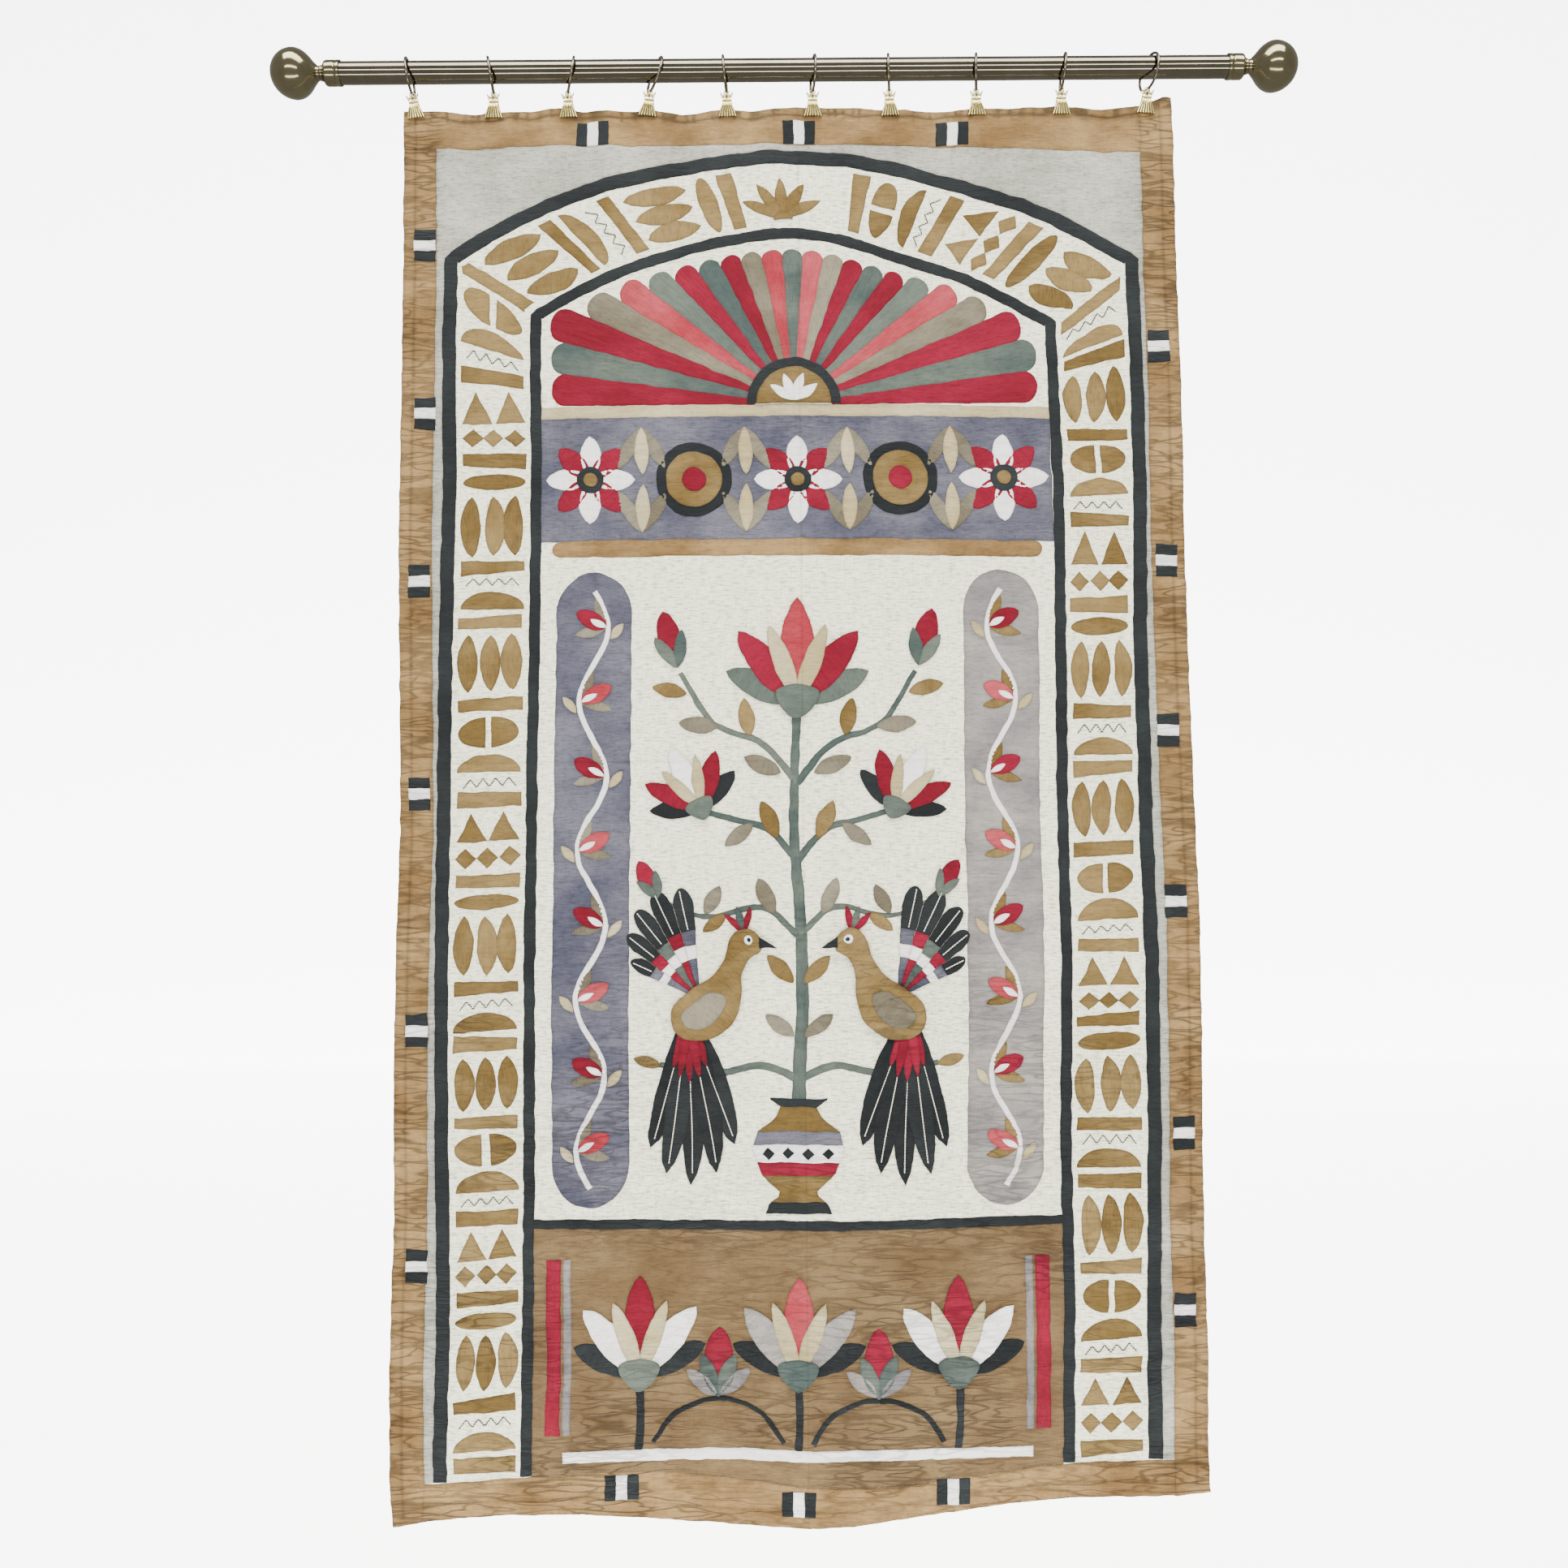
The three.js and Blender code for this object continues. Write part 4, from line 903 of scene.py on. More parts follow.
@dataclass
class SewnCloth:
    """Turns patches into one thin closed mesh that lies on the hung cloth.

    Each patch has a turned-under edge, which makes it thickest just inside its rim.
    """

    name: str
    cottons: tuple[Cotton, ...]
    patches: list[Patch]
    edge_step: float = 3.2
    rim_height: float = 0.3
    thickness: float = 0.6
    fold_height: float = 0.25
    fold_at: float = 2.0
    fold_reach: float = 1.1
    groove_reach: float = 1.7
    cut_depth: float = 0.9
    nick_depth: float = 0.35
    dents: Crumple = Crumple(31, (13, 7))
    cut: tuple[Crumple, ...] = (Crumple(32, (15, 15)), Crumple(33, (15, 15)))
    nicks: tuple[Crumple, ...] = (Crumple(34, (4.5, 4.5)), Crumple(35, (4.5, 4.5)))

    def shell(self, patch: Patch, seed: int) -> tuple[Points, list, Points, Points]:
        """Builds one patch.

        Args:
            patch: what to build.
            seed: which sets its place in the weave.

        Returns:
            Points in millimetres, faces, weave coordinates in metres, and how free of painted shade
            each point is.
        """
        rim = even_outline(turned_in(patch.outline), self.edge_step)
        uneven = [
            self.cut_depth * cut.at(*rim.T) + self.nick_depth * nick.at(*rim.T)
            for cut, nick in zip(self.cut, self.nicks)
        ]
        rim = rim + np.stack(uneven, 1)
        along = np.roll(rim, -1, 0) - np.roll(rim, 1, 0)
        along /= np.maximum(np.linalg.norm(along, axis=1, keepdims=True), 1e-9)
        outward = np.stack((along[:, 1], -along[:, 0]), 1)
        low, high = rim.min(0), rim.max(0)
        rows, columns = (np.arange(low[k], high[k], patch.spacing) for k in (1, 0))
        grid = np.stack(np.meshgrid(columns, rows), -1)
        grid[1::2, :, 0] += patch.spacing / 2
        # Rows of points inside the rim, each with the least distance from it that is kept
        rings = [(rim - outward * 0.9, 0.6), (rim[::2] - outward[::2] * 2.3, 1.8)]
        rings += [(line, 2.6) for line, _ in patch.creases]
        rings.append((grid.reshape(-1, 2), 3.2))
        found, distances = [rim], [np.zeros(len(rim))]
        for points, least in rings:
            distance, inside = rim_distance(points, rim)
            keep = inside & (distance > least)
            found.append(points[keep])
            distances.append(distance[keep])
        flat, distance = np.concatenate(found), np.concatenate(distances)
        count = len(rim)
        loop = [(i, (i + 1) % count) for i in range(count)]
        seats, _, cells, origins, _, _ = delaunay_2d_cdt(
            [Vector(p) for p in flat.tolist()], loop, [], 1, 1e-5
        )
        source = np.array([o[0] if o else -1 for o in origins])
        places = np.array([tuple(p) for p in seats])
        away = np.where(source >= 0, distance[source], 0.0)
        top_of = np.full(len(flat), -1)
        top_of[source[source >= 0]] = np.nonzero(source >= 0)[0]
        x, z = places[:, 0], places[:, 1]
        base = GROUND_HALF + LEVEL_STEP * patch.level
        risen = 1 - np.exp(-((away / self.fold_reach) ** 2))
        swell = self.rim_height + (self.thickness - self.rim_height) * risen
        swell += self.fold_height * np.exp(-(((away - self.fold_at) / self.fold_reach) ** 2))
        swell += 0.2 * self.dents.at(x, z) * np.minimum(1, away / 2)
        wrinkles = HUNG.hem_wrinkles(x, z)
        swell = swell - 0.3 * wrinkles
        # Painted shade: darker just inside the rim, in the hem's wrinkles and along the fold
        # grooves
        clean = 0.5 + 0.5 * np.clip(away / 2.4, 0, 1) - 0.9 * wrinkles
        for line, strength in patch.creases:
            gap = np.sqrt(((places[:, None] - line[None]) ** 2).sum(2).min(1))
            groove = strength * np.exp(-((gap / self.groove_reach) ** 2))
            swell = np.maximum(0.25, swell - 0.5 * groove)
            clean = clean - groove
        flat_depth = HUNG.depth(x, z)
        top = np.stack((x, flat_depth - base - swell, z), 1)
        # The underside tucks just behind the cloth it lies on
        under = np.stack((x, flat_depth - base + 0.25, z), 1)
        start = len(top)
        faces = [tuple(c) for c in cells] + [tuple(start + v for v in reversed(c)) for c in cells]
        for i in range(count):
            a, b = int(top_of[i]), int(top_of[(i + 1) % count])
            if a >= 0 and b >= 0:
                faces.append((a, start + a, start + b, b))
        points = np.concatenate((top, under))
        turn = math.radians(patch.grain)
        weave = points[:, (0, 2)] @ np.array(
            ((math.cos(turn), -math.sin(turn)), (math.sin(turn), math.cos(turn)))
        )
        weave = weave * MM + np.random.default_rng(seed).uniform(0, 3, 2)
        share = np.concatenate((np.clip(clean, 0, 1), np.zeros(len(under))))
        return points, faces, weave, share

    def build(self, materials: dict[Cotton, bpy.types.Material]) -> bpy.types.Object:
        """Builds the mesh of all the patches.

        Args:
            materials: the finish of each cotton.

        Returns:
            The finished object.
        """
        points, faces, weaves, shares, tones, slots = [], [], [], [], [], []
        start = 0
        for number, patch in enumerate(self.patches):
            some, cells, weave, share = self.shell(patch, WEAVE_SEED + number)
            points.append(some)
            faces += [tuple(start + v for v in cell) for cell in cells]
            slots += [self.cottons.index(patch.cotton)] * len(cells)
            weaves.append(weave)
            shares.append(share)
            tone = np.random.default_rng(TONE_SEED + number).uniform(-0.5, 0.6)
            tones.append(np.full(len(some), tone))
            start += len(some)
        places = np.concatenate(points)
        mesh = make_mesh(self.name, places * MM, faces)
        mesh.polygons.foreach_set("material_index", slots)
        drawn = HUNG.drawn_in(places[:, 0], places[:, 2])
        dress_cloth(
            mesh, np.concatenate(weaves), np.concatenate(tones), np.concatenate(shares), drawn
        )
        for cotton in self.cottons:
            mesh.materials.append(materials[cotton])
        return add_piece(mesh)


def make_mesh(name: str, points: Points, faces: list, sharp: float = 180.0) -> bpy.types.Mesh:
    """A smooth-shaded mesh.

    Args:
        name: its name.
        points: its points, in metres.
        faces: its faces.
        sharp: edges that bend more than this many degrees stay sharp.

    Returns:
        The mesh.
    """
    mesh = bpy.data.meshes.new(name)
    mesh.from_pydata(np.asarray(points, float).tolist(), [], faces)
    mesh.update()
    mesh.polygons.foreach_set("use_smooth", [True] * len(mesh.polygons))
    if sharp < 180:
        mesh.set_sharp_from_angle(angle=math.radians(sharp))
    return mesh


def dress_cloth(
    mesh: bpy.types.Mesh, weave: Points, tone: Points, clean: Points, drawn: Points
) -> None:
    """Gives a cloth mesh its weave map, its tone, its painted shade and where it is puckered.

    Args:
        mesh: the cloth.
        weave: a place in the weave for each point, in metres.
        tone: how faded each point is.
        unshaded: 1 on open cloth, less where shade is painted in creases, grooves and at turned
            edges.
        drawn: how deep the small puckers are, from 0 to 1.
    """
    corners = np.empty(len(mesh.loops), int)
    mesh.loops.foreach_get("vertex_index", corners)
    layer = mesh.uv_layers.new(name="weave")
    layer.data.foreach_set("uv", weave[corners].astype(np.float32).ravel())
    for name, values in (("tone", tone), ("clean", clean), ("drawn", drawn)):
        attribute = mesh.attributes.new(name, "FLOAT", "POINT")
        attribute.data.foreach_set("value", values.astype(np.float32))


def add_piece(mesh: bpy.types.Mesh) -> bpy.types.Object:
    """Puts a mesh in the scene as an object of the same name."""
    piece = bpy.data.objects.new(mesh.name, mesh)
    bpy.context.collection.objects.link(piece)
    return piece


def grid_rim(rows: int, columns: int) -> list[int]:
    """The numbers of the points round a grid that is numbered row by row, from its first corner."""
    last = (rows - 1) * columns
    rim = list(range(columns)) + [r * columns + columns - 1 for r in range(1, rows)]
    rim += [last + c for c in range(columns - 2, -1, -1)]
    return rim + [r * columns for r in range(rows - 2, 0, -1)]


@dataclass
class GroundCloth:
    """The full-size cream canvas: a fine grid in front, a coarser back, closed round its edge."""

    columns: int = 108
    rows: int = 500
    back_spacing: float = 13.0

    def tuck(self, x: Points, z: Points) -> Points:
        """How far the front lies back under the border strips, so that it stays clear of them."""
        to_side = np.minimum(x - HUNG.left(z), HUNG.right(z) - x)
        over = np.maximum(BORDER_WIDTH - to_side, z - HUNG.top_seam(x))
        return 0.45 * smooth_step((np.maximum(over, HUNG.bottom_seam(x) - z) - 2) / 5)

    def build(self, materials: dict[Cotton, bpy.types.Material]) -> bpy.types.Object:
        """Builds the canvas.

        Args:
            materials: the finish of each cotton.

        Returns:
            The finished object.
        """
        u, v = np.meshgrid(np.linspace(0, 1, self.columns + 1), np.linspace(0, 1, self.rows + 1))
        x = -485 + u * 980
        for _ in range(4):
            z = HUNG.top(x) + v * (HUNG.bottom(x) - HUNG.top(x))
            x = HUNG.left(z) + u * (HUNG.right(z) - HUNG.left(z))
        x, z = x.ravel(), z.ravel()
        front = np.stack((x, HUNG.depth(x, z) - GROUND_HALF + self.tuck(x, z), z), 1)
        wide, count = self.columns + 1, len(x)
        faces = []
        for r in range(self.rows):
            for c in range(self.columns):
                a = r * wide + c
                faces.append((a, a + wide, a + wide + 1, a + 1))
        rim = grid_rim(self.rows + 1, wide)
        edge = front[rim][:, (0, 2)]
        ties, around = len(rim), [(i, (i + 1) % len(rim)) for i in range(len(rim))]
        across, down = (np.arange(*span, self.back_spacing) for span in ((-495, 506), (-1810, -38)))
        grid = np.stack(np.meshgrid(across, down), -1).reshape(-1, 2)
        distance, inside = rim_distance(grid, edge)
        flat = np.concatenate((edge, grid[inside & (distance > 5)]))
        seats, _, cells, origins, _, _ = delaunay_2d_cdt(
            [Vector(p) for p in flat.tolist()], around, [], 1, 1e-5
        )
        places = np.array([tuple(p) for p in seats])
        back_of = {o[0]: count + i for i, o in enumerate(origins) if o and o[0] < ties}
        depth = HUNG.folds(places[:, 0], places[:, 1]) + GROUND_HALF
        back = np.stack((places[:, 0], depth, places[:, 1]), 1)
        faces += [tuple(count + v for v in reversed(cell)) for cell in cells]
        for i, j in around:
            faces.append((rim[i], rim[j], back_of[j], back_of[i]))
        points = np.concatenate((front, back))
        mesh = make_mesh("ground_canvas", points * MM, faces)
        flat = points[:, (0, 2)]
        drawn = 0.7 * HUNG.drawn_in(flat[:, 0], flat[:, 1])
        dress_cloth(mesh, flat * MM, np.zeros(len(flat)), np.ones(len(flat)), drawn)
        mesh.materials.append(materials[Cotton.CREAM])
        return add_piece(mesh)


# ---- the sewn-on plan


def border_left(z: Points) -> Points:
    """The inner edge of the left border strip."""
    return HUNG.left(z) + BORDER_WIDTH


def border_right(z: Points) -> Points:
    """The inner edge of the right border strip."""
    return HUNG.right(z) - BORDER_WIDTH


def column(x_at: Callable[[Points], Points], top: float, foot: float, step: float = 12.0) -> Points:
    """Points down an upright line whose place across is a function of height."""
    z = np.linspace(top, foot, max(2, int(abs(top - foot) / step) + 1))
    return np.stack((x_at(z), z), 1)


def row(z_at: Callable[[Points], Points], left: float, right: float, step: float = 12.0) -> Points:
    """Points along a level line whose height is a function of place across."""
    x = np.linspace(left, right, max(2, int(abs(right - left) / step) + 1))
    return np.stack((x, z_at(x)), 1)


@dataclass
class Borders:
    """Four tan strips with an outer fold, each sewn flat on the canvas, and their blocks."""

    block_length: float = 13.6
    block_width: float = 27.0

    def top_groove(self, x: Points) -> Points:
        """The wavering line where the top strip is folded over its hem."""
        waver = 2.2 * Crumple(41, (23, 9)).at(x, np.zeros(np.shape(x)))
        return HUNG.top(x) - TOP_HEM_WIDTH + waver

    def strips(self) -> dict[str, Patch]:
        """The four strips.

        Returns:
            A patch for each strip, by the name of the part it stands for.
        """

        def strip(spacing: float, fold: Points, depth: float, *sides: Points) -> Patch:
            """A strip from the sides of its outline, and how deep the groove of its fold is."""
            return Patch(
                Cotton.TAN, np.concatenate(sides), spacing=spacing, creases=[(fold, depth)]
            )

        start = TOP_EDGE[0, 0] + HEM_WIDTH
        end = float(border_right(-95)) + 0.3
        top = strip(
            4, row(self.top_groove, start, end, 2), 1.2, row(HUNG.top_seam, start, end),
            row(HUNG.top, start, end)[::-1]
        )
        low_left, low_right = float(border_left(-1745)) - 0.3, float(border_right(-1745)) + 0.3
        bottom = strip(
            4.2, row(lambda x: HUNG.bottom(x) + BOTTOM_HEM_WIDTH, low_left, low_right, 3), 0.5,
            row(HUNG.bottom, low_left, low_right), row(HUNG.bottom_seam, low_left, low_right)[::-1]
        )
        corner = float(border_left(-95))
        left = strip(
            4.4, column(lambda z: HUNG.left(z) + HEM_WIDTH, -100, -1790, 3), 0.55,
            column(HUNG.left, -51, -1804), row(HUNG.bottom, -487, float(border_left(-1757))),
            column(border_left, -1757, float(HUNG.top_seam(corner)) + 0.3),
            row(lambda x: HUNG.top_seam(x) + 0.3, corner, start + 0.3)[1:],
            np.array(((start + 0.3, float(HUNG.top(start))),))
        )
        right = strip(
            4.4, column(lambda z: HUNG.right(z) - HEM_WIDTH - 1, -50, -1755, 3), 0.55,
            row(HUNG.bottom, float(border_right(-1745)), 503), column(HUNG.right, -1760, -44),
            row(HUNG.top, float(border_right(-95)), 489, 5)[::-1],
            column(border_right, -95, -1745)[:-1]
        )
        return {
            "border_top": top, "border_bottom": bottom, "border_left": left, "border_right": right
        }

    def blocks(self, layout: Layout) -> None:
        """Sews the black, white and black blocks on the strips."""
        for side, places in BLOCKS.items():
            upright = side in ("left", "right")
            for x, z in places:
                for step, cotton in ((-1, Cotton.BLACK), (0, Cotton.WHITE), (1, Cotton.BLACK)):
                    shift = step * self.block_length
                    tilt = 5 * Crumple(44, (7, 7)).at(np.array(x + shift), np.array(z))
                    if upright:
                        block = bar(self.block_width, self.block_length)
                        shape = moved(block, x, z + shift, float(tilt))
                    else:
                        block = bar(self.block_length, self.block_width + 3)
                        shape = moved(block, x + shift, z, float(tilt))
                    layout.patches.append(
                        Patch(cotton, even_outline(shape, 5), 1, 0 if upright else 90)
                    )


@dataclass
class FieldPanels:
    """The big flat pieces inside the border: corners, arched bands, rails and panels."""

    foot_gap: float = 0.15
    rail_inset: float = 24.0

    def pieces(self) -> dict[str, Patch]:
        """The pieces.

        Returns:
            A patch for each, by the name of the part it stands for.
        """
        outer, inner = arched_line(OUTER_ARCH, (1, 4)), arched_line(INNER_ARCH, (2, 3))
        return {
            "spandrel_cloth": Patch(Cotton.GREY, self.spandrel(outer), spacing=5),
            "arch_band_outer": Patch(Cotton.BLACK, ribbon(outer, OUTER_BAND_WIDTH)),
            "arch_band_inner": Patch(Cotton.BLACK, ribbon(inner, INNER_BAND_WIDTH)),
            "lunette_rail": Patch(Cotton.BEIGE, self.cross("lunette rail top", "frieze top")),
            "frieze_panel": Patch(Cotton.VIOLET, self.cross("frieze top", "frieze foot")),
            "frieze_rail": Patch(Cotton.TAN, self.rail()),
            "base_line": Patch(Cotton.BLACK, self.cross("base line top", "base top")),
            "base_panel": Patch(Cotton.BROWN, self.base()),
            "side_panel_left": Patch(Cotton.VIOLET, self.side_panel(-1)),
            "side_panel_right": Patch(Cotton.STONE, self.side_panel(1)),
        }

    def foot(self, x: float) -> float:
        """Where an upright piece ends, just above the bottom border."""
        return float(HUNG.bottom_seam(x)) + self.foot_gap

    def spandrel(self, outer: Points) -> Points:
        """The cloth between the border and the outer band: two corners and two long tails."""
        edge = side_step(outer, OUTER_BAND_WIDTH / 2 - 0.2)
        left, right = float(border_left(-99)), float(border_right(-109))
        down = column(border_left, -101, self.foot(float(border_left(-1740))))
        up = column(border_right, -110, self.foot(float(border_right(-1727))))[::-1]
        top = row(HUNG.top_seam, left, right)[::-1][1:-1]
        return np.concatenate((down, edge, up, top))

    def inner_left(self, z: Points) -> Points:
        """The right edge of the inner band's left leg."""
        return HUNG.leg(2, z) + INNER_BAND_WIDTH / 2 - 0.2

    def inner_right(self, z: Points) -> Points:
        """The left edge of the inner band's right leg."""
        return HUNG.leg(3, z) - INNER_BAND_WIDTH / 2 + 0.2

    def cross(self, top: str, foot: str) -> Points:
        """A piece right across the field between two seams."""
        upper, lower = SEAMS[top], SEAMS[foot]
        left_top, left_foot = float(self.inner_left(upper[0])), float(self.inner_left(lower[0]))
        right_top, right_foot = float(self.inner_right(upper[2])), float(self.inner_right(lower[2]))
        low = row(lambda x: HUNG.cross_seam(foot, x), left_foot, right_foot)
        high = row(lambda x: HUNG.cross_seam(top, x), left_top, right_top)
        return np.concatenate((low, high[::-1]))

    def base(self) -> Points:
        """The panel at the foot of the field."""
        start, end = float(self.inner_left(-1447)), float(self.inner_right(-1448))
        top = row(lambda x: HUNG.cross_seam("base top", x), start, end)
        left = column(self.inner_left, -1449, self.foot(-318))
        right = column(self.inner_right, -1450, self.foot(328))
        foot = row(lambda x: HUNG.bottom_seam(x) + self.foot_gap, left[-1, 0], right[-1, 0])
        return np.concatenate((left[:-1], foot, right[::-1][1:], top[::-1]))

    def rail(self) -> Points:
        """The rail under the frieze, which stops short of the bands and has rounded ends."""
        left = float(self.inner_left(-610)) + self.rail_inset
        right = float(self.inner_right(-613)) - self.rail_inset
        top = row(lambda x: HUNG.cross_seam("frieze foot", x), left, right)
        low = row(lambda x: HUNG.cross_seam("frieze rail foot", x), left, right)
        radius = (top[0, 1] - low[0, 1]) / 2
        start = arc((left, (top[0, 1] + low[0, 1]) / 2), (radius, radius), 90, 270, 8)[1:-1]
        end = arc((right, (top[-1, 1] + low[-1, 1]) / 2), (radius, radius), -90, 90, 8)[1:-1]
        return np.concatenate((low, end, top[::-1], start))

    def side_panel(self, side: int) -> Points:
        """An upright panel with curved ends, on the left for -1 and the right for 1."""
        half, tall = SIDE_PANEL_WIDTH / 2, SIDE_PANEL_END
        upper = arc((0, SIDE_PANEL_TOP - tall), (half, tall), 0, 180, 20)
        lower = arc((0, SIDE_PANEL_FOOT + tall), (half, tall), 180, 360, 20)
        outline = moved(np.concatenate((upper, lower)), side * SIDE_PANEL_MIDDLE, 0)
        return InnerField().warp(even_outline(outline, 10))


class Motif(Enum):
    """The groups of shapes along the cream band, with their length along it in millimetres."""

    BAR = 17
    HALF_DISC = 23
    ZIGZAG = 9
    LEAVES = 74
    LOZENGES = 25
    OVAL = 22
    TRIANGLES = 38
    TWO_HALVES = 36


@dataclass
class BandOrnament:
    """A run of bars, leaves, half discs and lozenges along the cream band, cut by eye."""

    width: float = 80.0
    gap: float = 7.0
    margin: float = 8.0
    seed: int = 4
    run: tuple[Motif, ...] = (
        Motif.BAR, Motif.HALF_DISC, Motif.ZIGZAG, Motif.BAR, Motif.LEAVES, Motif.OVAL, Motif.BAR,
        Motif.LOZENGES, Motif.TRIANGLES, Motif.BAR, Motif.ZIGZAG, Motif.HALF_DISC, Motif.TWO_HALVES,
        Motif.BAR, Motif.LEAVES
    )

    def lay_out(self, layout: Layout) -> None:
        """Sews the run up both sides to the middle of the arch.

        Args:
            layout: what the patches are added to.
        """
        band = ArchedBand()
        chance = np.random.default_rng(self.seed)
        half = band.length / 2 - 34
        for downwards in (False, True):
            at, number = self.margin, 0
            while True:
                motif = self.run[(number + 6 * downwards) % len(self.run)]
                length = motif.value * chance.uniform(0.86, 1.12)
                if at + length > half:
                    break
                for cotton, shape in self.group(motif, length, chance):
                    aside, tilt = chance.uniform(-1.5, 1.5), chance.uniform(-2.5, 2.5)
                    shape = moved(shape, aside, at + length / 2, tilt)
                    if downwards:
                        shape = np.stack((shape[:, 0], band.length - shape[:, 1]), 1)[::-1]
                    if cotton is None:
                        layout.stitch(band, Thread.BLACK, shape)
                    else:
                        layout.sew(band, cotton, shape, 0, 90 if motif is Motif.LEAVES else 0)
                at += length + self.gap * chance.uniform(0.8, 1.2)
                number += 1
        for turn in range(-60, 61, 30):
            petal = moved(leaf(58, 16), 32, band.length / 2, 90 + turn)
            layout.sew(band, Cotton.SAND, petal, 0, turn)
        layout.sew(band, Cotton.SAND, moved(half_disc(28, 12), 34, band.length / 2, 90), 1)

    def group(
        self, motif: Motif, length: float, chance: np.random.Generator
    ) -> list[tuple[Cotton | None, Points]]:
        """The shapes of one group, about its middle.

        Args:
            motif: which group.
            length: its length along the band.
            chance: what makes each cut a little different.

        Returns:
            Cloth and outline for each patch, and None with a line for a line of thread.
        """
        wide = self.width
        third = wide * 0.335
        if motif is Motif.BAR:
            skew = chance.uniform(-2, 2)
            return [
                (Cotton.SAND, bar(wide, length) + ((0, skew), (0, -skew), (0, skew), (0, -skew)))
            ]
        if motif is Motif.HALF_DISC:
            return [(Cotton.SAND, half_disc(wide, length) - (0, length / 2))]
        if motif is Motif.OVAL:
            return [(Cotton.SAND, oval(wide, length))]
        if motif is Motif.ZIGZAG:
            steps = np.arange(9)
            x = (steps / 8 - 0.5) * wide * 0.8
            return [(None, open_line(np.stack((x, np.where(steps % 2, 0.5, -0.5) * length), 1)))]
        if motif is Motif.LEAVES:
            bends = chance.uniform(-4, 4, 3)
            return [
                (Cotton.SAND, moved(leaf(length, 26, bend, 0.65), x, -length / 2))
                for x, bend in zip((-third, 0, third), bends)
            ]
        if motif is Motif.LOZENGES:
            return [(Cotton.SAND, lozenge(27, length) + (x, 0)) for x in (-third, 0, third)]
        if motif is Motif.TRIANGLES:
            return [
                (Cotton.SAND, triangle(38, length) + (x, -length / 2))
                for x in (-wide * 0.26, wide * 0.26)
            ]
        halves = ((-4, 90), (4, -90))
        return [(Cotton.SAND, moved(half_disc(length, 34), x, 0, turn)) for x, turn in halves]


def open_line(points: Points) -> Points:
    """A line with straight runs between its points, with a point every 4 mm."""
    parts = []
    for a, b in zip(points, points[1:]):
        count = max(1, int(round(np.linalg.norm(b - a) / 4)))
        parts.append(a + (b - a) * np.arange(count)[:, None] / count)
    return np.concatenate((*parts, points[-1:]))


@dataclass
class Lunette:
    """Rounded rays that fan out side by side from a half disc under the inner arch."""

    rays: int = 23
    start_radius: float = 60.0
    margin: float = 13.0
    foot: float = -429.0
    cottons: tuple[Cotton, ...] = (
        Cotton.CRIMSON, Cotton.GREEN, Cotton.CRIMSON, Cotton.TAUPE, Cotton.CORAL, Cotton.GREEN
    )

    def lay_out(self, layout: Layout) -> None:
        """Sews the rays and the half disc."""
        inner = side_step(arched_line(INNER_ARCH, (2, 3)), -INNER_BAND_WIDTH / 2)
        middle = np.array((9.0, self.foot))
        ground = Ground()
        step = 180 / self.rays
        half = math.tan(math.radians(step / 2))
        for number in range(self.rays):
            angle = (number + 0.5) * step
            toward = np.array((math.cos(math.radians(angle)), math.sin(math.radians(angle))))
            away = inner - middle
            off = np.abs(away[:, 0] * toward[1] - away[:, 1] * toward[0])
            nearest = away[np.argmin(np.where(away @ toward > 0, off, np.inf))]
            reach = float(np.linalg.norm(nearest)) - self.margin
            wide, narrow = reach * half - 0.4, self.start_radius * half - 0.2
            cap = arc((reach - wide * 0.8, 0), (wide * 0.8, wide), -90, 90, 10)
            inward = ((self.start_radius - 12, narrow), (self.start_radius - 12, -narrow))
            shape = np.concatenate((inward[1:], cap, inward[:1]))
            from_side = min(number, self.rays - 1 - number)
            cotton = self.cottons[from_side % len(self.cottons)]
            layout.sew(ground, cotton, moved(shape, middle[0], middle[1], angle), 0, angle)
        self.hub(layout, middle[0], middle[1] + 1)

    def hub(self, layout: Layout, x: float, z: float) -> None:
        """Sews the half disc that the rays start from."""
        ground = Ground()
        layout.sew(ground, Cotton.BLACK, moved(half_disc(118, 58), x, z), 1)
        layout.sew(ground, Cotton.SAND, moved(half_disc(94, 46), x, z), 2)
        for turn in (-56, -19, 19, 56):
            layout.sew(ground, Cotton.WHITE, moved(leaf(36, 12), x, z + 3, turn), 3)


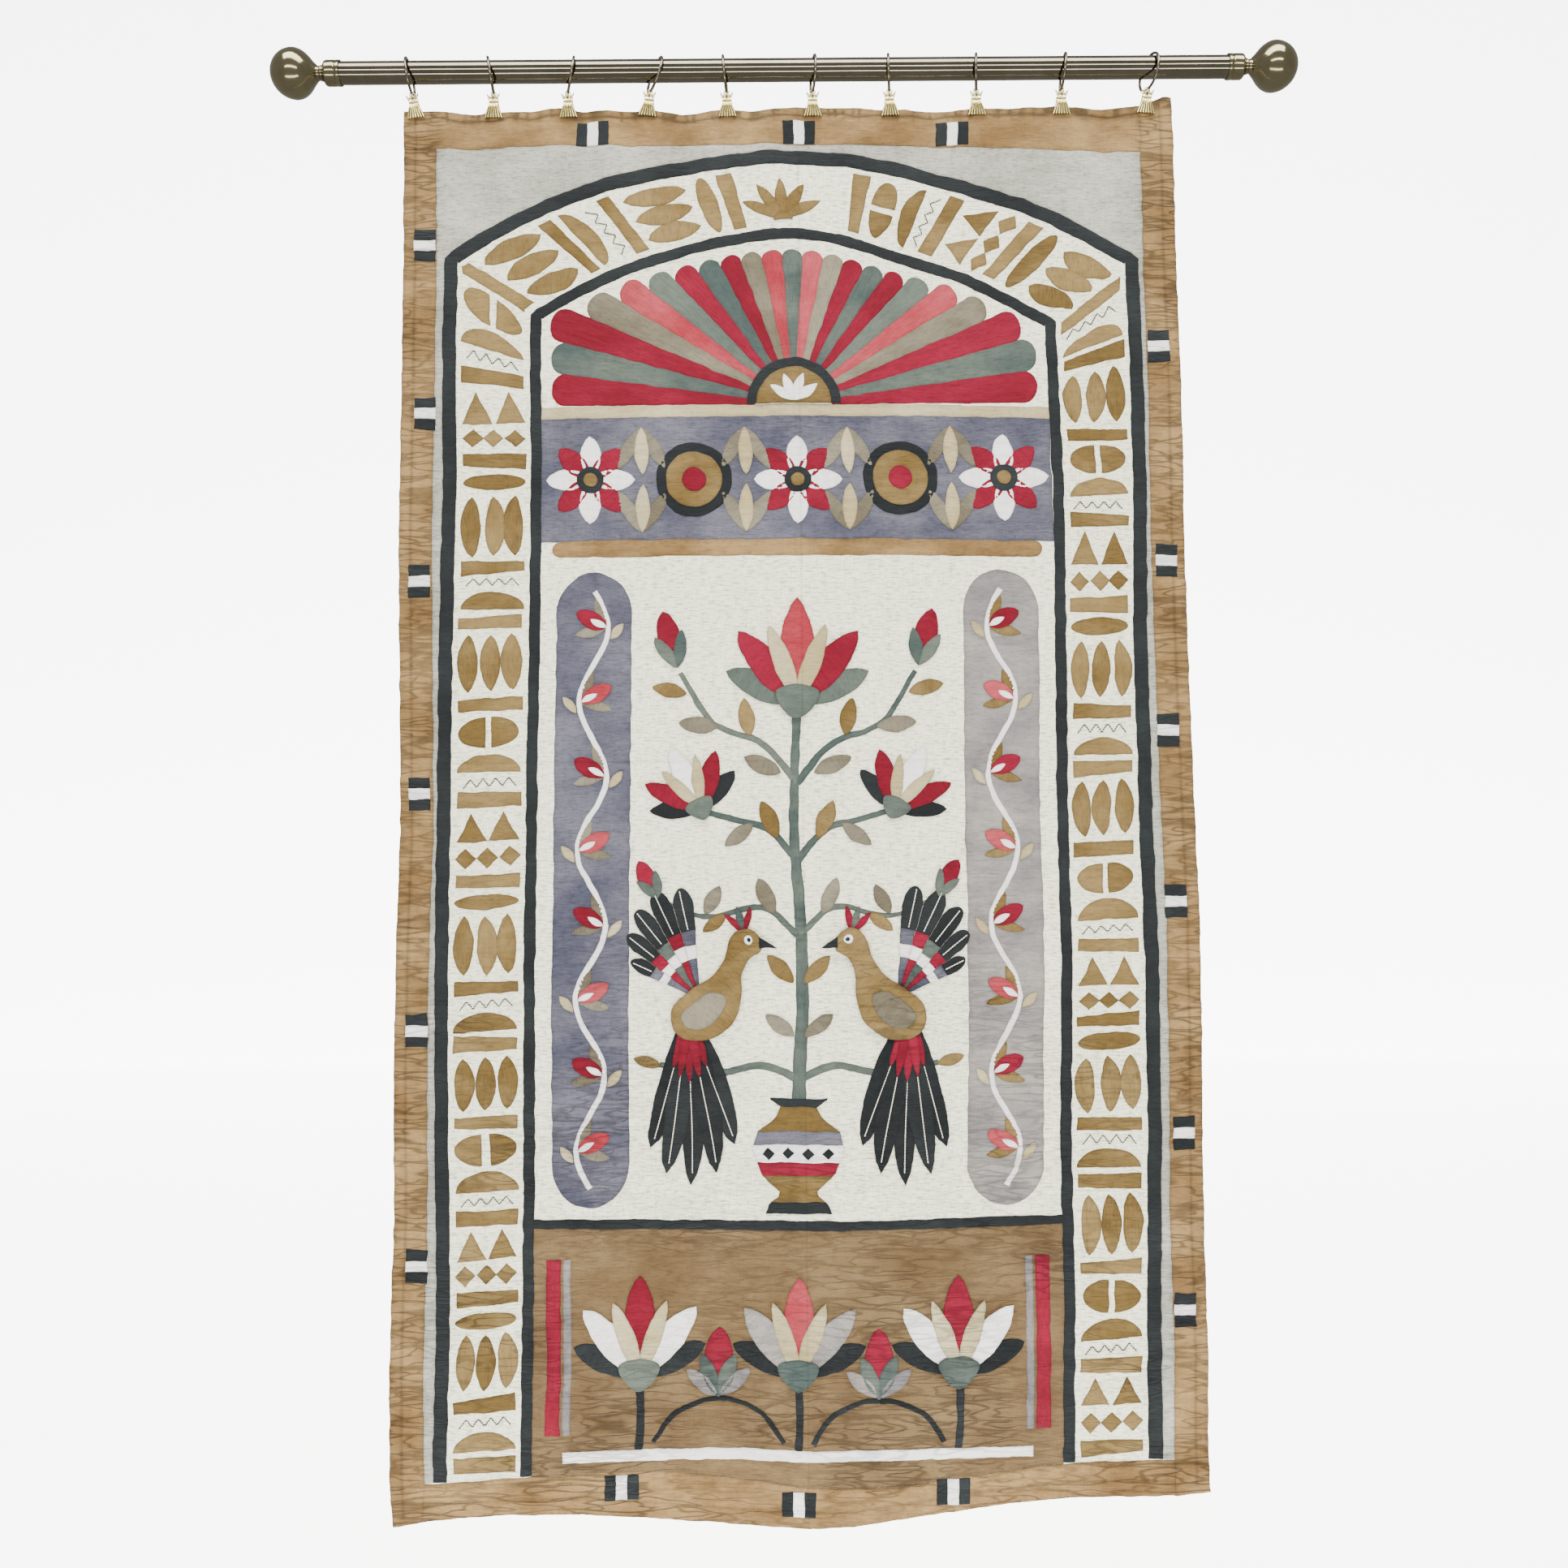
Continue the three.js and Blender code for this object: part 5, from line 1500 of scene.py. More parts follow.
@dataclass
class Frieze:
    """Rosettes with leaf sprays between them, in a row."""

    height: float = -524.0
    places: tuple[float, ...] = (-256, -128, 0, 128, 256)
    petal_length: float = 55.0

    def rosette(self, layout: Layout, x: float, plain: bool) -> None:
        """Sews one rosette.

        Args:
            layout: what the patches are added to.
            x: its place across.
            plain: whether it is the plain disc with a ring, not the one with petals.
        """
        spot = InnerField()
        if plain:
            discs = ((94, Cotton.BLACK), (70, Cotton.SAND), (30, Cotton.CRIMSON))
            for level, (size, cotton) in enumerate(discs, 1):
                layout.sew(spot, cotton, moved(oval(size, size), x, self.height), level)
            return
        for number in range(8):
            cotton = Cotton.CRIMSON if number % 2 else Cotton.WHITE
            petal = moved(leaf(self.petal_length, 27, 0, 0.6), x, self.height, number * 45)
            layout.sew(spot, cotton, petal, 1, number * 45)
        layout.sew(spot, Cotton.BLACK, moved(oval(33, 33), x, self.height), 2)
        layout.sew(spot, Cotton.SAND, moved(oval(17, 17), x, self.height), 3)

    def lay_out(self, layout: Layout) -> None:
        """Sews the row."""
        spot = InnerField()
        for number, x in enumerate(self.places):
            self.rosette(layout, x, number % 2 == 1)
        for left, right in zip(self.places, self.places[1:]):
            x = (left + right) / 2
            for foot, first in ((self.height - 66, 0), (self.height + 66, 180)):
                for turn, cotton in ((-30, Cotton.TAUPE), (30, Cotton.TAUPE), (0, Cotton.BEIGE)):
                    spray = moved(leaf(60, 18, 0, 0.7), x, foot, first + turn)
                    layout.sew(spot, cotton, spray, 1 + (turn == 0), first + turn)


@dataclass
class SideVines:
    """A winding stem with leaves and buds up each side panel."""

    foot: float = -1400.0
    top: float = -664.0
    wave: float = 17.0
    bends: int = 4

    def lay_out(self, layout: Layout) -> None:
        """Sews both vines."""
        spot = InnerField()
        for side in (-1, 1):
            middle = side * SIDE_PANEL_MIDDLE
            z = np.linspace(self.foot, self.top, 150)
            share = (z - self.foot) / (self.top - self.foot)
            phase = share * 2 * math.pi * self.bends
            line = np.stack((middle + side * self.wave * np.sin(phase), z), 1)
            layout.sew(spot, Cotton.WHITE, ribbon(line, 6.5), 1, 90)
            for number in range(2 * self.bends):
                at = (number + 0.5) / (2 * self.bends)
                out = 1 if number % 2 == 0 else -1
                z_at = self.foot + at * (self.top - self.foot)
                x_at = middle + side * self.wave * math.sin(at * 2 * math.pi * self.bends)
                inward = -side * out
                base = (x_at + inward * 2, z_at)
                flower = Cotton.CRIMSON if number % 2 else Cotton.CORAL
                layout.sew(spot, flower, moved(leaf(42, 22, 0, 0.6), *base, -inward * 62), 2)
                layout.sew(spot, Cotton.WHITE, moved(leaf(22, 8), *base, -inward * 62), 3)
                for turn in (-inward * 22, -inward * 104):
                    cotton = Cotton.TAUPE if side < 0 else Cotton.SAND
                    layout.sew(spot, cotton, moved(leaf(40, 13, 0, 0.75), *base, turn), 1, turn)
                back = (x_at - inward * 3, z_at - 14)
                layout.sew(spot, Cotton.BEIGE, moved(leaf(26, 11), *back, inward * 40), 2)


@dataclass
class LotusTree:
    """A vase with a flowering tree, and a long-tailed bird on each side of it."""

    stem_foot: float = -1296.0
    stem_top: float = -800.0

    # Branches on the right: the places they pass through, and how thick they start and end
    RUNS = (
        (((0, -905), (42, -856), (104, -828), (144, -766)), 9, 6),
        (((0, -1000), (34, -962), (80, -948), (116, -938)), 9, 7),
        (((0, -1092), (44, -1058), (110, -1070), (164, -1050)), 8, 5),
        (((0, -1268), (44, -1252), (104, -1262), (168, -1250)), 10, 7),
    )
    # Leaves on the right: place, turn to the right in degrees, length and cloth
    LEAVES = (
        (20, -892, 66, 50, Cotton.TAUPE), (58, -846, 10, 48, Cotton.SAND),
        (96, -834, 84, 50, Cotton.TAUPE), (136, -792, 78, 44, Cotton.SAND),
        (24, -972, 24, 50, Cotton.SAND), (54, -954, 128, 44, Cotton.TAUPE),
        (30, -1066, 22, 48, Cotton.TAUPE), (86, -1066, 128, 36, Cotton.SAND),
        (112, -1068, -26, 42, Cotton.TAUPE), (6, -1150, 44, 46, Cotton.SAND),
        (6, -1216, 52, 44, Cotton.TAUPE), (166, -1252, 72, 34, Cotton.SAND)
    )
    # Tail feathers: turn and length
    TAIL = ((-199, 168), (-190, 196), (-181, 208), (-172, 196), (-164, 168))
    # Wing feathers: turn, how far the tip is from the shoulder, where the bands begin, and the
    # cloth of the first and third band. The second is white and the tip black
    WING = (
        (-60, 96, (14, 44, 54, 66), Cotton.VIOLET), (-47.5, 118, (14, 46, 58, 74), Cotton.CRIMSON),
        (-35, 134, (14, 48, 62, 80), Cotton.GREEN), (-22.5, 142, (14, 50, 66, 84), Cotton.CRIMSON),
        (-10, 138, (14, 50, 66, 84), Cotton.VIOLET)
    )
    # Outlines of the bird's breast and body
    BREAST = ((32, -38), (10, -36), (-8, -16), (-10, 2), (8, 6), (30, -8), (43, -24))
    BODY = (
        (52, -38), (34, -52), (4, -50), (-20, -30), (-30, -2), (-30, 26), (-38, 46), (-53, 58),
        (-51, 75), (-34, 84), (-17, 73), (-9, 46), (6, 26), (30, 10), (52, -10)
    )

    def flower(
        self, layout: Layout, place: Pair, size: float, turn: float,
        cottons: tuple[Cotton, Cotton, Cotton], level: int = 1
    ) -> None:
        """Sews an open flower.

        Args:
            layout: what the patches are added to.
            place: where its stem ends.
            size: 1 is about 120 mm across.
            turn: which way it leans, in degrees.
            cottons: its outer, middle and inner petals.
            level: how many cloths lie under it.
        """
        spot = InnerField()
        petals = ((66, 62, 22, 0), (40, 74, 24, 1), (0, 84, 27, 1))
        for cotton, (spread, length, width, lift) in zip(cottons, petals):
            for lean in (-spread, spread) if spread else (0,):
                petal = moved(moved(leaf(length, width, 0, 0.65), 0, 0, lean), *place, turn, size)
                layout.sew(spot, cotton, petal, level + lift, turn + lean)
        for side in (-1, 1):
            petal = moved(leaf(66, 15, 0, 0.7), 0, 0, side * 20)
            layout.sew(spot, Cotton.BEIGE, moved(petal, *place, turn, size), level + 2)
        cup = closed_curve(((0, -14), (13, -4), (17, 9), (0, 14), (-17, 9), (-13, -4)))
        layout.sew(spot, Cotton.GREEN, moved(cup, *place, turn, size), level + 3)

    def bud(self, layout: Layout, place: Pair, size: float, turn: float) -> None:
        """Sews a closed bud."""
        spot = InnerField()
        layout.sew(spot, Cotton.CRIMSON, moved(leaf(50, 21, 0, 0.6), *place, turn, size), 1, turn)
        for side in (-1, 1):
            layout.sew(
                spot, Cotton.GREEN, moved(leaf(33, 11, 0, 0.7), *place, turn + side * 22, size), 2
            )

    def lay_out(self, layout: Layout) -> None:
        """Sews the whole tree, the vase and the birds."""
        spot = InnerField()
        trunk = open_curve(((0, self.stem_foot), (4, -1120), (-4, -960), (0, self.stem_top)))
        layout.sew(spot, Cotton.GREEN, ribbon(trunk, np.linspace(17, 10, len(trunk))), 0, 90)
        crown = (Cotton.GREEN, Cotton.CRIMSON, Cotton.CORAL)
        self.flower(layout, (0, self.stem_top - 4), 1.55, 0, crown)
        for side in (-1, 1):
            self.branches(layout, side)
            self.bird(layout, side)
        self.vase(layout)

    def branches(self, layout: Layout, side: int) -> None:
        """Sews the branches, flowers and leaves of one side of the tree."""
        spot = InnerField()
        for run, thick, thin in self.RUNS:
            line = open_curve([(side * x, z) for x, z in run])
            layout.sew(spot, Cotton.GREEN, ribbon(line, np.linspace(thick, thin, len(line))), 0, 30)
        petals = (Cotton.BLACK, Cotton.CRIMSON, Cotton.WHITE)
        self.flower(layout, (side * 118, -936), 1.02, -side * 26, petals)
        self.bud(layout, (side * 148, -760), 1.45, -side * 14)
        self.bud(layout, (side * 168, -1046), 1.05, -side * 30)
        for x, z, turn, length, cotton in self.LEAVES:
            shape = moved(leaf(length, 0.42 * length, 0, 0.7), side * x, z, -side * turn)
            layout.sew(spot, cotton, shape, 1, -side * turn)

    def bird(self, layout: Layout, side: int) -> None:
        """Sews one bird, which stands on a low branch and looks at the tree."""
        spot = InnerField()

        def place(shape: Points) -> Points:
            """Moves a shape drawn for the right-hand bird, mirrored for the left one."""
            return moved(shape, side * 98, -1168, 0, 1, side < 0)

        def put(cotton: Cotton, shape: Points, level: int, grain: float = 0.0) -> None:
            """Sews a shape of the bird."""
            layout.sew(spot, cotton, place(shape), level, side * grain)

        def spine(start: float, end: float, root: Pair, turn: float, level: int) -> None:
            """Stitches the middle line of a feather."""
            line = moved(open_line(np.array(((0.0, start), (1.5, end)))), *root, turn)
            layout.stitch(spot, Thread.CREAM, place(line), level)

        for number, (turn, length) in enumerate(self.TAIL):
            put(Cotton.BLACK, moved(leaf(length, 31, 3, 0.5), 34, -22, turn), 1 + number % 2, turn)
            spine(54, length * 0.92, (34, -22), turn, 2 + number % 2)
            put(
                Cotton.CRIMSON, moved(leaf(length * 0.4, 12, 0, 0.7), 34, -22, turn),
                3 + number % 2, turn
            )
        for turn, outer, starts, dyed in self.WING:
            cottons = (dyed, Cotton.WHITE, dyed, Cotton.BLACK)
            for start, end, cotton in zip(starts, (*starts[1:], outer), cottons):
                part = self.feather(start, end, end == outer)
                put(cotton, moved(part, 20, -2, turn), 1, turn)
            spine(starts[-1] + 4, outer - 5, (20, -2), turn, 2)
        put(Cotton.SAND, closed_curve(self.BODY), 5, 40)
        put(Cotton.TAUPE, closed_curve(self.BREAST), 6, 50)
        put(Cotton.BLACK, np.array(((-51, 74), (-72, 61), (-50, 60))), 6)
        put(Cotton.WHITE, moved(oval(11, 11), -38, 70), 6)
        put(Cotton.BLACK, moved(oval(5, 5), -39, 70), 7)
        for turn, cotton in ((12, Cotton.CRIMSON), (-16, Cotton.GREEN), (-44, Cotton.CRIMSON)):
            put(cotton, moved(leaf(34, 9), -33, 78, turn), 2)

    def feather(self, start: float, end: float, tip: bool) -> Points:
        """Part of a wing feather, between two distances from the shoulder.

        Args:
            start: where it begins.
            end: where it ends.
            tip: whether it ends in the rounded tip.

        Returns:
            Its outline, with the feather pointing up.
        """
        slope = math.tan(math.radians(6.1))
        straight = end - 1.6 * slope * end if tip else end
        sides = np.array(
            ((-slope * start, start), (slope * start, start), (slope * straight, straight))
        )
        if not tip:
            return np.concatenate((sides, ((-slope * straight, straight),)))
        rounded = arc((0, straight), (slope * straight, end - straight), 0, 180, 12)
        return np.concatenate((sides, rounded[1:]))

    def vase(self, layout: Layout) -> None:
        """Sews the vase, in bands of colour from its foot to its lip."""
        spot = InnerField()
        heights = np.array((0, 12, 24, 48, 78, 100, 116, 130, 138))
        halves = np.array((40, 36, 20, 44, 56, 50, 28, 22, 34))
        bands = (
            (0, 14, Cotton.BLACK), (14, 46, Cotton.SAND), (46, 62, Cotton.CRIMSON),
            (62, 84, Cotton.WHITE), (84, 100, Cotton.VIOLET), (100, 130, Cotton.SAND),
            (130, 140, Cotton.BLACK)
        )
        for low, high, cotton in bands:
            z = np.linspace(low, high, 6)
            half = np.interp(z, heights, halves)
            sides = np.concatenate((np.stack((half, z), 1), np.stack((-half, z), 1)[::-1]))
            layout.sew(spot, cotton, moved(sides, 0, -1432), 1)
        for x in (-36, -12, 12, 36):
            layout.sew(spot, Cotton.BLACK, moved(lozenge(15, 15), x, -1359), 2)


@dataclass
class BasePanel:
    """Open flowers and buds on arched stems over a white line."""

    foot: float = -1724.0

    def lay_out(self, layout: Layout) -> None:
        """Sews the row of flowers."""
        spot = InnerField()
        tree = LotusTree()
        layout.sew(spot, Cotton.WHITE, moved(bar(560, 13), 0, self.foot + 2), 1)
        for x in (-190, 0, 190):
            stem = open_curve(((x, self.foot + 8), (x + 2, -1680), (x, -1620)))
            layout.sew(spot, Cotton.BLACK, ribbon(stem, 9), 1, 90)
            cottons = (Cotton.BLACK, Cotton.WHITE, Cotton.CRIMSON)
            if x == 0:
                cottons = (Cotton.BLACK, Cotton.STONE, Cotton.CORAL)
            tree.flower(layout, (x, -1625), 1.4, 0, cottons, 1)
        for x in (-95, 95):
            for side in (-1, 1):
                stem = ((78, -1708), (56, -1676), (22, -1659), (0, -1656))
                line = open_curve([(x + side * out, z) for out, z in stem])
                layout.sew(spot, Cotton.BLACK, ribbon(line, 6), 1)
            tree.bud(layout, (x, -1654), 1.7, 0)
            for side in (-1, 1):
                layout.sew(spot, Cotton.STONE, moved(leaf(50, 18, 0, 0.7), x, -1652, side * 50), 2)
        for x in (-292, 292):
            layout.sew(spot, Cotton.CRIMSON, moved(bar(17, 210), x, -1590), 1, 90)
            layout.sew(
                spot, Cotton.STONE, moved(bar(9, 210), x - math.copysign(16, x), -1590), 1, 90
            )


# ---- stitches


def node_group(name: str, inputs: dict[str, str]) -> bpy.types.NodeTree:
    """A Geometry Nodes tree that takes and gives geometry.

    Args:
        name: its name.
        inputs: the kind of each further input, by its name.

    Returns:
        The tree, with no nodes yet.
    """
    tree = bpy.data.node_groups.new(name, "GeometryNodeTree")
    for socket, kind in {"Geometry": "Geometry", **inputs}.items():
        tree.interface.new_socket(socket, in_out="INPUT", socket_type="NodeSocket" + kind)
    tree.interface.new_socket("Geometry", in_out="OUTPUT", socket_type="NodeSocketGeometry")
    return tree


def grown(
    name: str, seedling: bpy.types.Mesh, tree: bpy.types.NodeTree, values: dict
) -> bpy.types.Object:
    """Makes a plain piece of what a node tree makes from a mesh.

    Args:
        name: the new piece's name.
        seedling: the points or lines that the tree starts from.
        tree: the Geometry Nodes.
        values: what its inputs get, by their names.

    Returns:
        The plain piece.
    """
    guide = add_piece(seedling)
    modifier = guide.modifiers.new(name, "NODES")
    modifier.node_group = tree
    for item in tree.interface.items_tree:
        if item.in_out == "INPUT" and item.name in values:
            modifier[item.identifier] = values[item.name]
    seen = guide.evaluated_get(bpy.context.evaluated_depsgraph_get())
    mesh = bpy.data.meshes.new_from_object(seen)
    mesh.name = name
    bpy.data.objects.remove(guide)
    return add_piece(mesh)


@dataclass(frozen=True)
class RunningStitch:
    """Geometry Nodes that lay stitches along lines, one after another."""

    pitch: float
    length: float
    thickness: float
    seed: int = 7

    def tree(self) -> bpy.types.NodeTree:
        """Builds the node tree.

        Returns:
            A tree with inputs Pitch, Length, Thickness, Seed and Thread.
        """
        kinds = {name: "Float" for name in ("Pitch", "Length", "Thickness")}
        tree = node_group("laid_stitches", {**kinds, "Seed": "Int", "Thread": "Material"})
        add = partial(add_node, tree)
        given = add("NodeGroupInput").outputs
        lines = add("GeometryNodeMeshToCurve", {}, {"Mesh": given["Geometry"]}).outputs[0]
        spaced = {"Curve": lines, "Length": given["Pitch"]}
        even = add("GeometryNodeResampleCurve", {"mode": "LENGTH"}, spaced).outputs[0]
        along = add("GeometryNodeInputTangent").outputs[0]
        turn = add("FunctionNodeAlignRotationToVector", {"axis": "X"}, {"Vector": along}).outputs[0]
        spread = {"data_type": "FLOAT", 2: 0.85, 3: 1.15}
        vary = add("FunctionNodeRandomValue", spread, {"Seed": given["Seed"]}).outputs[1]
        sized = add("ShaderNodeMath", {"operation": "MULTIPLY"}, {0: given["Length"], 1: vary})
        sides = {0: sized.outputs[0], 1: given["Thickness"], 2: given["Thickness"]}
        scale = add("ShaderNodeCombineXYZ", {}, sides).outputs[0]
        bead = add("GeometryNodeMeshIcoSphere", {"Radius": 0.5, "Subdivisions": 1}).outputs[0]
        placing = {"Points": even, "Instance": bead, "Rotation": turn, "Scale": scale}
        laid = add("GeometryNodeInstanceOnPoints", {}, placing).outputs[0]
        real = add("GeometryNodeRealizeInstances", {}, {0: laid}).outputs[0]
        smooth = add("GeometryNodeSetShadeSmooth", {}, {0: real}).outputs[0]
        dye = {"Geometry": smooth, "Material": given["Thread"]}
        dyed = add("GeometryNodeSetMaterial", {}, dye).outputs[0]
        add("NodeGroupOutput", {}, {0: dyed})
        return tree

    def lay(self, name: str, lines: list[Points], thread: bpy.types.Material) -> bpy.types.Object:
        """Lays stitches along lines.

        Args:
            name: the new piece's name.
            lines: points of each line, in metres.
            thread: the thread's material.

        Returns:
            The stitches as one plain mesh.
        """
        points, edges = [], []
        for line in lines:
            start = len(points)
            points += np.asarray(line, float).tolist()
            edges += [(start + i, start + i + 1) for i in range(len(line) - 1)]
        path = bpy.data.meshes.new(name + "_path")
        path.from_pydata(points, edges, [])
        values = {"Pitch": self.pitch, "Length": self.length, "Thickness": self.thickness}
        return grown(name, path, self.tree(), {**values, "Seed": self.seed, "Thread": thread})


# ---- pole, finials, rings and clips


def turned_mesh(name: str, profile: Sequence[Pair], sides: int) -> bpy.types.Mesh:
    """A closed solid turned round the X axis.

    Args:
        name: the mesh's name.
        profile: distance along the axis and radius, in millimetres, from axis to axis.
        sides: the number of steps round.

    Returns:
        The mesh, in metres.
    """
    angle = np.arange(sides) * 2 * math.pi / sides
    points, faces = [(profile[0][0], 0, 0)], []
    for along, radius in profile[1:-1]:
        points += [(along, radius * math.cos(a), radius * math.sin(a)) for a in angle]
    points.append((profile[-1][0], 0, 0))
    rings = len(profile) - 2
    for i in range(sides):
        j = (i + 1) % sides
        faces.append((0, 1 + j, 1 + i))
        for k in range(rings - 1):
            a, b = 1 + k * sides, 1 + (k + 1) * sides
            faces.append((a + i, a + j, b + j, b + i))
        last = 1 + (rings - 1) * sides
        faces.append((last + i, last + j, len(points) - 1))
    return make_mesh(name, np.array(points) * MM, faces, 35)


@dataclass
class CurtainPole:
    """A plated tube between two ball finials."""

    radius: float = POLE_RADIUS
    mouth: float = 561.0
    insertion: float = 16.0

    def build(self) -> list[tuple[bpy.types.Object, str]]:
        """Builds the pole and its finials.

        Returns:
            Each piece with the name of the node it replaces.
        """
        end = self.mouth + self.insertion
        xs = np.linspace(-end, end, 9)
        tube = turned_mesh(
            "plated_tube", [(-end, 0), *((float(x), self.radius) for x in xs), (end, 0)], 96
        )
        tube.materials.append(POLE_FINISH.make())
        pieces = [(add_piece(tube), "pole")]
        ball = BALL_FINISH.make()
        for side, name in ((1, "right"), (-1, "left")):
            profile = self.finial_profile()
            if side < 0:
                profile = [(-along, radius) for along, radius in profile][::-1]
            mesh = turned_mesh(f"ball_finial_{name}", profile, 96)
            mesh.transform(Matrix.Translation((side * self.mouth * MM, 0, 0)))
            mesh.materials.append(ball)
            pieces.append((add_piece(mesh), f"finial_{name}"))
        return pieces

    def finial_profile(self) -> list[Pair]:
        """The finial from its socket's floor to the top of its ball, in millimetres."""
        floor = self.insertion + 0.4
        socket = [
            (floor, 0), (floor, 14.5), (0.4, 14.5), (0, 14.8), (0, 15.3), (0.5, 15.8), (4.8, 15.8),
            (5.4, 15.5), (5.8, 15.1), (6.3, 15.1), (6.8, 15.5), (7.4, 15.7), (17.2, 15.7),
            (18.6, 15.4), (19.9, 14.6), (20.9, 13.2), (21.6, 11.2), (22.1, 9.6), (22.5, 8.9),
            (23.2, 9.3), (24.0, 9.8), (24.9, 9.8), (25.7, 9.3), (26.4, 8.9), (27.6, 8.8),
            (29.0, 9.0), (30.2, 9.9), (31.2, 11.1)
        ]
        flare = [
            (32.6, 12.5), (35.4, 15.4), (38.2, 18.9), (41.2, 22.3), (45, 25.7), (49, 28.2),
            (53.6, 30.1)
        ]
        dome = arc((58.5, 0), (30.8, 30.8), 90, 0, 18)
        return socket + flare + [(float(a), float(abs(r))) for a, r in dome[:-1]] + [(89.3, 0)]


def hanger_matrix(number: int) -> tuple[Matrix, Matrix]:
    """Where a ring and its clip hang.

    Args:
        number: which hanger, from the left.

    Returns:
        The ring's and the clip's place, in metres.
    """
    x, lean, turn, swing = HANGERS[number]
    lean_angle = math.radians(lean)
    rise = RING_RADIUS * math.cos(lean_angle)
    middle = POLE_RADIUS + RING_PLAY + RING_WIRE - rise
    ring = (
        Matrix.Translation(((x + RING_RADIUS * math.sin(lean_angle)) * MM, 0, middle * MM))
        @ Matrix.Rotation(lean_angle, 4, "Y") @ Matrix.Rotation(math.radians(turn), 4, "Z")
    )
    swung = Matrix.Rotation(-math.radians(min(swing, MOST_SWING)), 4, "Y")
    clip = Matrix.Translation((x * MM, 0, (middle - rise - EYE_PLAY) * MM)) @ swung
    return ring, clip


@dataclass(frozen=True)
class HangerRow:
    """Geometry Nodes that put one model at every hanger's place and turn."""

    name: str

    def tree(self) -> bpy.types.NodeTree:
        """Builds the node tree.

        Returns:
            A tree with inputs Model and Finish, which reads each point's turn.
        """
        tree = node_group("hanger_row", {"Model": "Object", "Finish": "Material"})
        add = partial(add_node, tree)
        given = add("NodeGroupInput").outputs
        model = add("GeometryNodeObjectInfo", {}, {"Object": given["Model"]}).outputs["Geometry"]
        named = {"data_type": "FLOAT_VECTOR", "Name": "turned"}
        turn = add("GeometryNodeInputNamedAttribute", named).outputs[0]
        rotation = add("FunctionNodeEulerToRotation", {}, {0: turn}).outputs[0]
        placing = {"Points": given["Geometry"], "Instance": model, "Rotation": rotation}
        hung = add("GeometryNodeInstanceOnPoints", {}, placing).outputs[0]
        real = add("GeometryNodeRealizeInstances", {}, {0: hung}).outputs[0]
        finish = {"Geometry": real, "Material": given["Finish"]}
        finished = add("GeometryNodeSetMaterial", {}, finish).outputs[0]
        add("NodeGroupOutput", {}, {0: finished})
        return tree

    def hang(
        self, model: bpy.types.Object, places: list[Matrix], finish: bpy.types.Material
    ) -> bpy.types.Object:
        """Puts the model at each place.

        Args:
            model: the one that is repeated, removed afterwards.
            places: where each copy hangs.
            finish: its material.

        Returns:
            All the copies as one plain mesh.
        """
        points = bpy.data.meshes.new(self.name + "_places")
        points.from_pydata([tuple(p.translation) for p in places], [], [])
        turns = points.attributes.new("turned", "FLOAT_VECTOR", "POINT")
        turns.data.foreach_set("vector", [a for p in places for a in p.to_euler("XYZ")])
        piece = grown(self.name, points, self.tree(), {"Model": model, "Finish": finish})
        bpy.data.objects.remove(model)
        return piece


def wire_ring(name: str, radius: float, wire: float, steps: int, sides: int) -> bpy.types.Mesh:
    """A wire ring in the YZ plane, in millimetres given and metres made."""
    around = np.arange(steps) * 2 * math.pi / steps
    across = np.arange(sides) * 2 * math.pi / sides
    points, faces = [], []
    for a in around:
        for b in across:
            reach = radius + wire * math.cos(b)
            points.append((wire * math.sin(b), reach * math.sin(a), reach * math.cos(a)))
    for i in range(steps):
        for j in range(sides):
            a, b = i * sides, ((i + 1) % steps) * sides
            k = (j + 1) % sides
            faces.append((a + j, b + j, b + k, a + k))
    return make_mesh(name, np.array(points) * MM, faces)


def sheet_solid(
    name: str, front: Points, back: Points, recess: Points | None = None
) -> bpy.types.Mesh:
    """A closed mesh between two grids of points, the front one facing the viewer.

    Args:
        name: its name.
        front: the front grid, its rows running to the right and down, in millimetres.
        back: the back grid.
        recess: how deep in a recess each front point lies, from 0 to 1.

    Returns:
        The mesh, in metres.
    """
    rows, columns = front.shape[:2]
    count = rows * columns
    faces = []
    for r in range(rows - 1):
        for c in range(columns - 1):
            a, b = r * columns + c, (r + 1) * columns + c
            faces.append((a, b, b + 1, a + 1))
            faces.append((count + a, count + a + 1, count + b + 1, count + b))
    rim = grid_rim(rows, columns)
    for a, b in zip(rim, rim[1:] + rim[:1]):
        faces.append((a, count + a, count + b, b))
    points = np.concatenate((front.reshape(-1, 3), back.reshape(-1, 3)))
    mesh = make_mesh(name, points * MM, faces, 50)
    values = np.zeros(len(points), np.float32)
    if recess is not None:
        values[:count] = recess.ravel()
    mesh.attributes.new("recess", "FLOAT", "POINT").data.foreach_set("value", values)
    return mesh


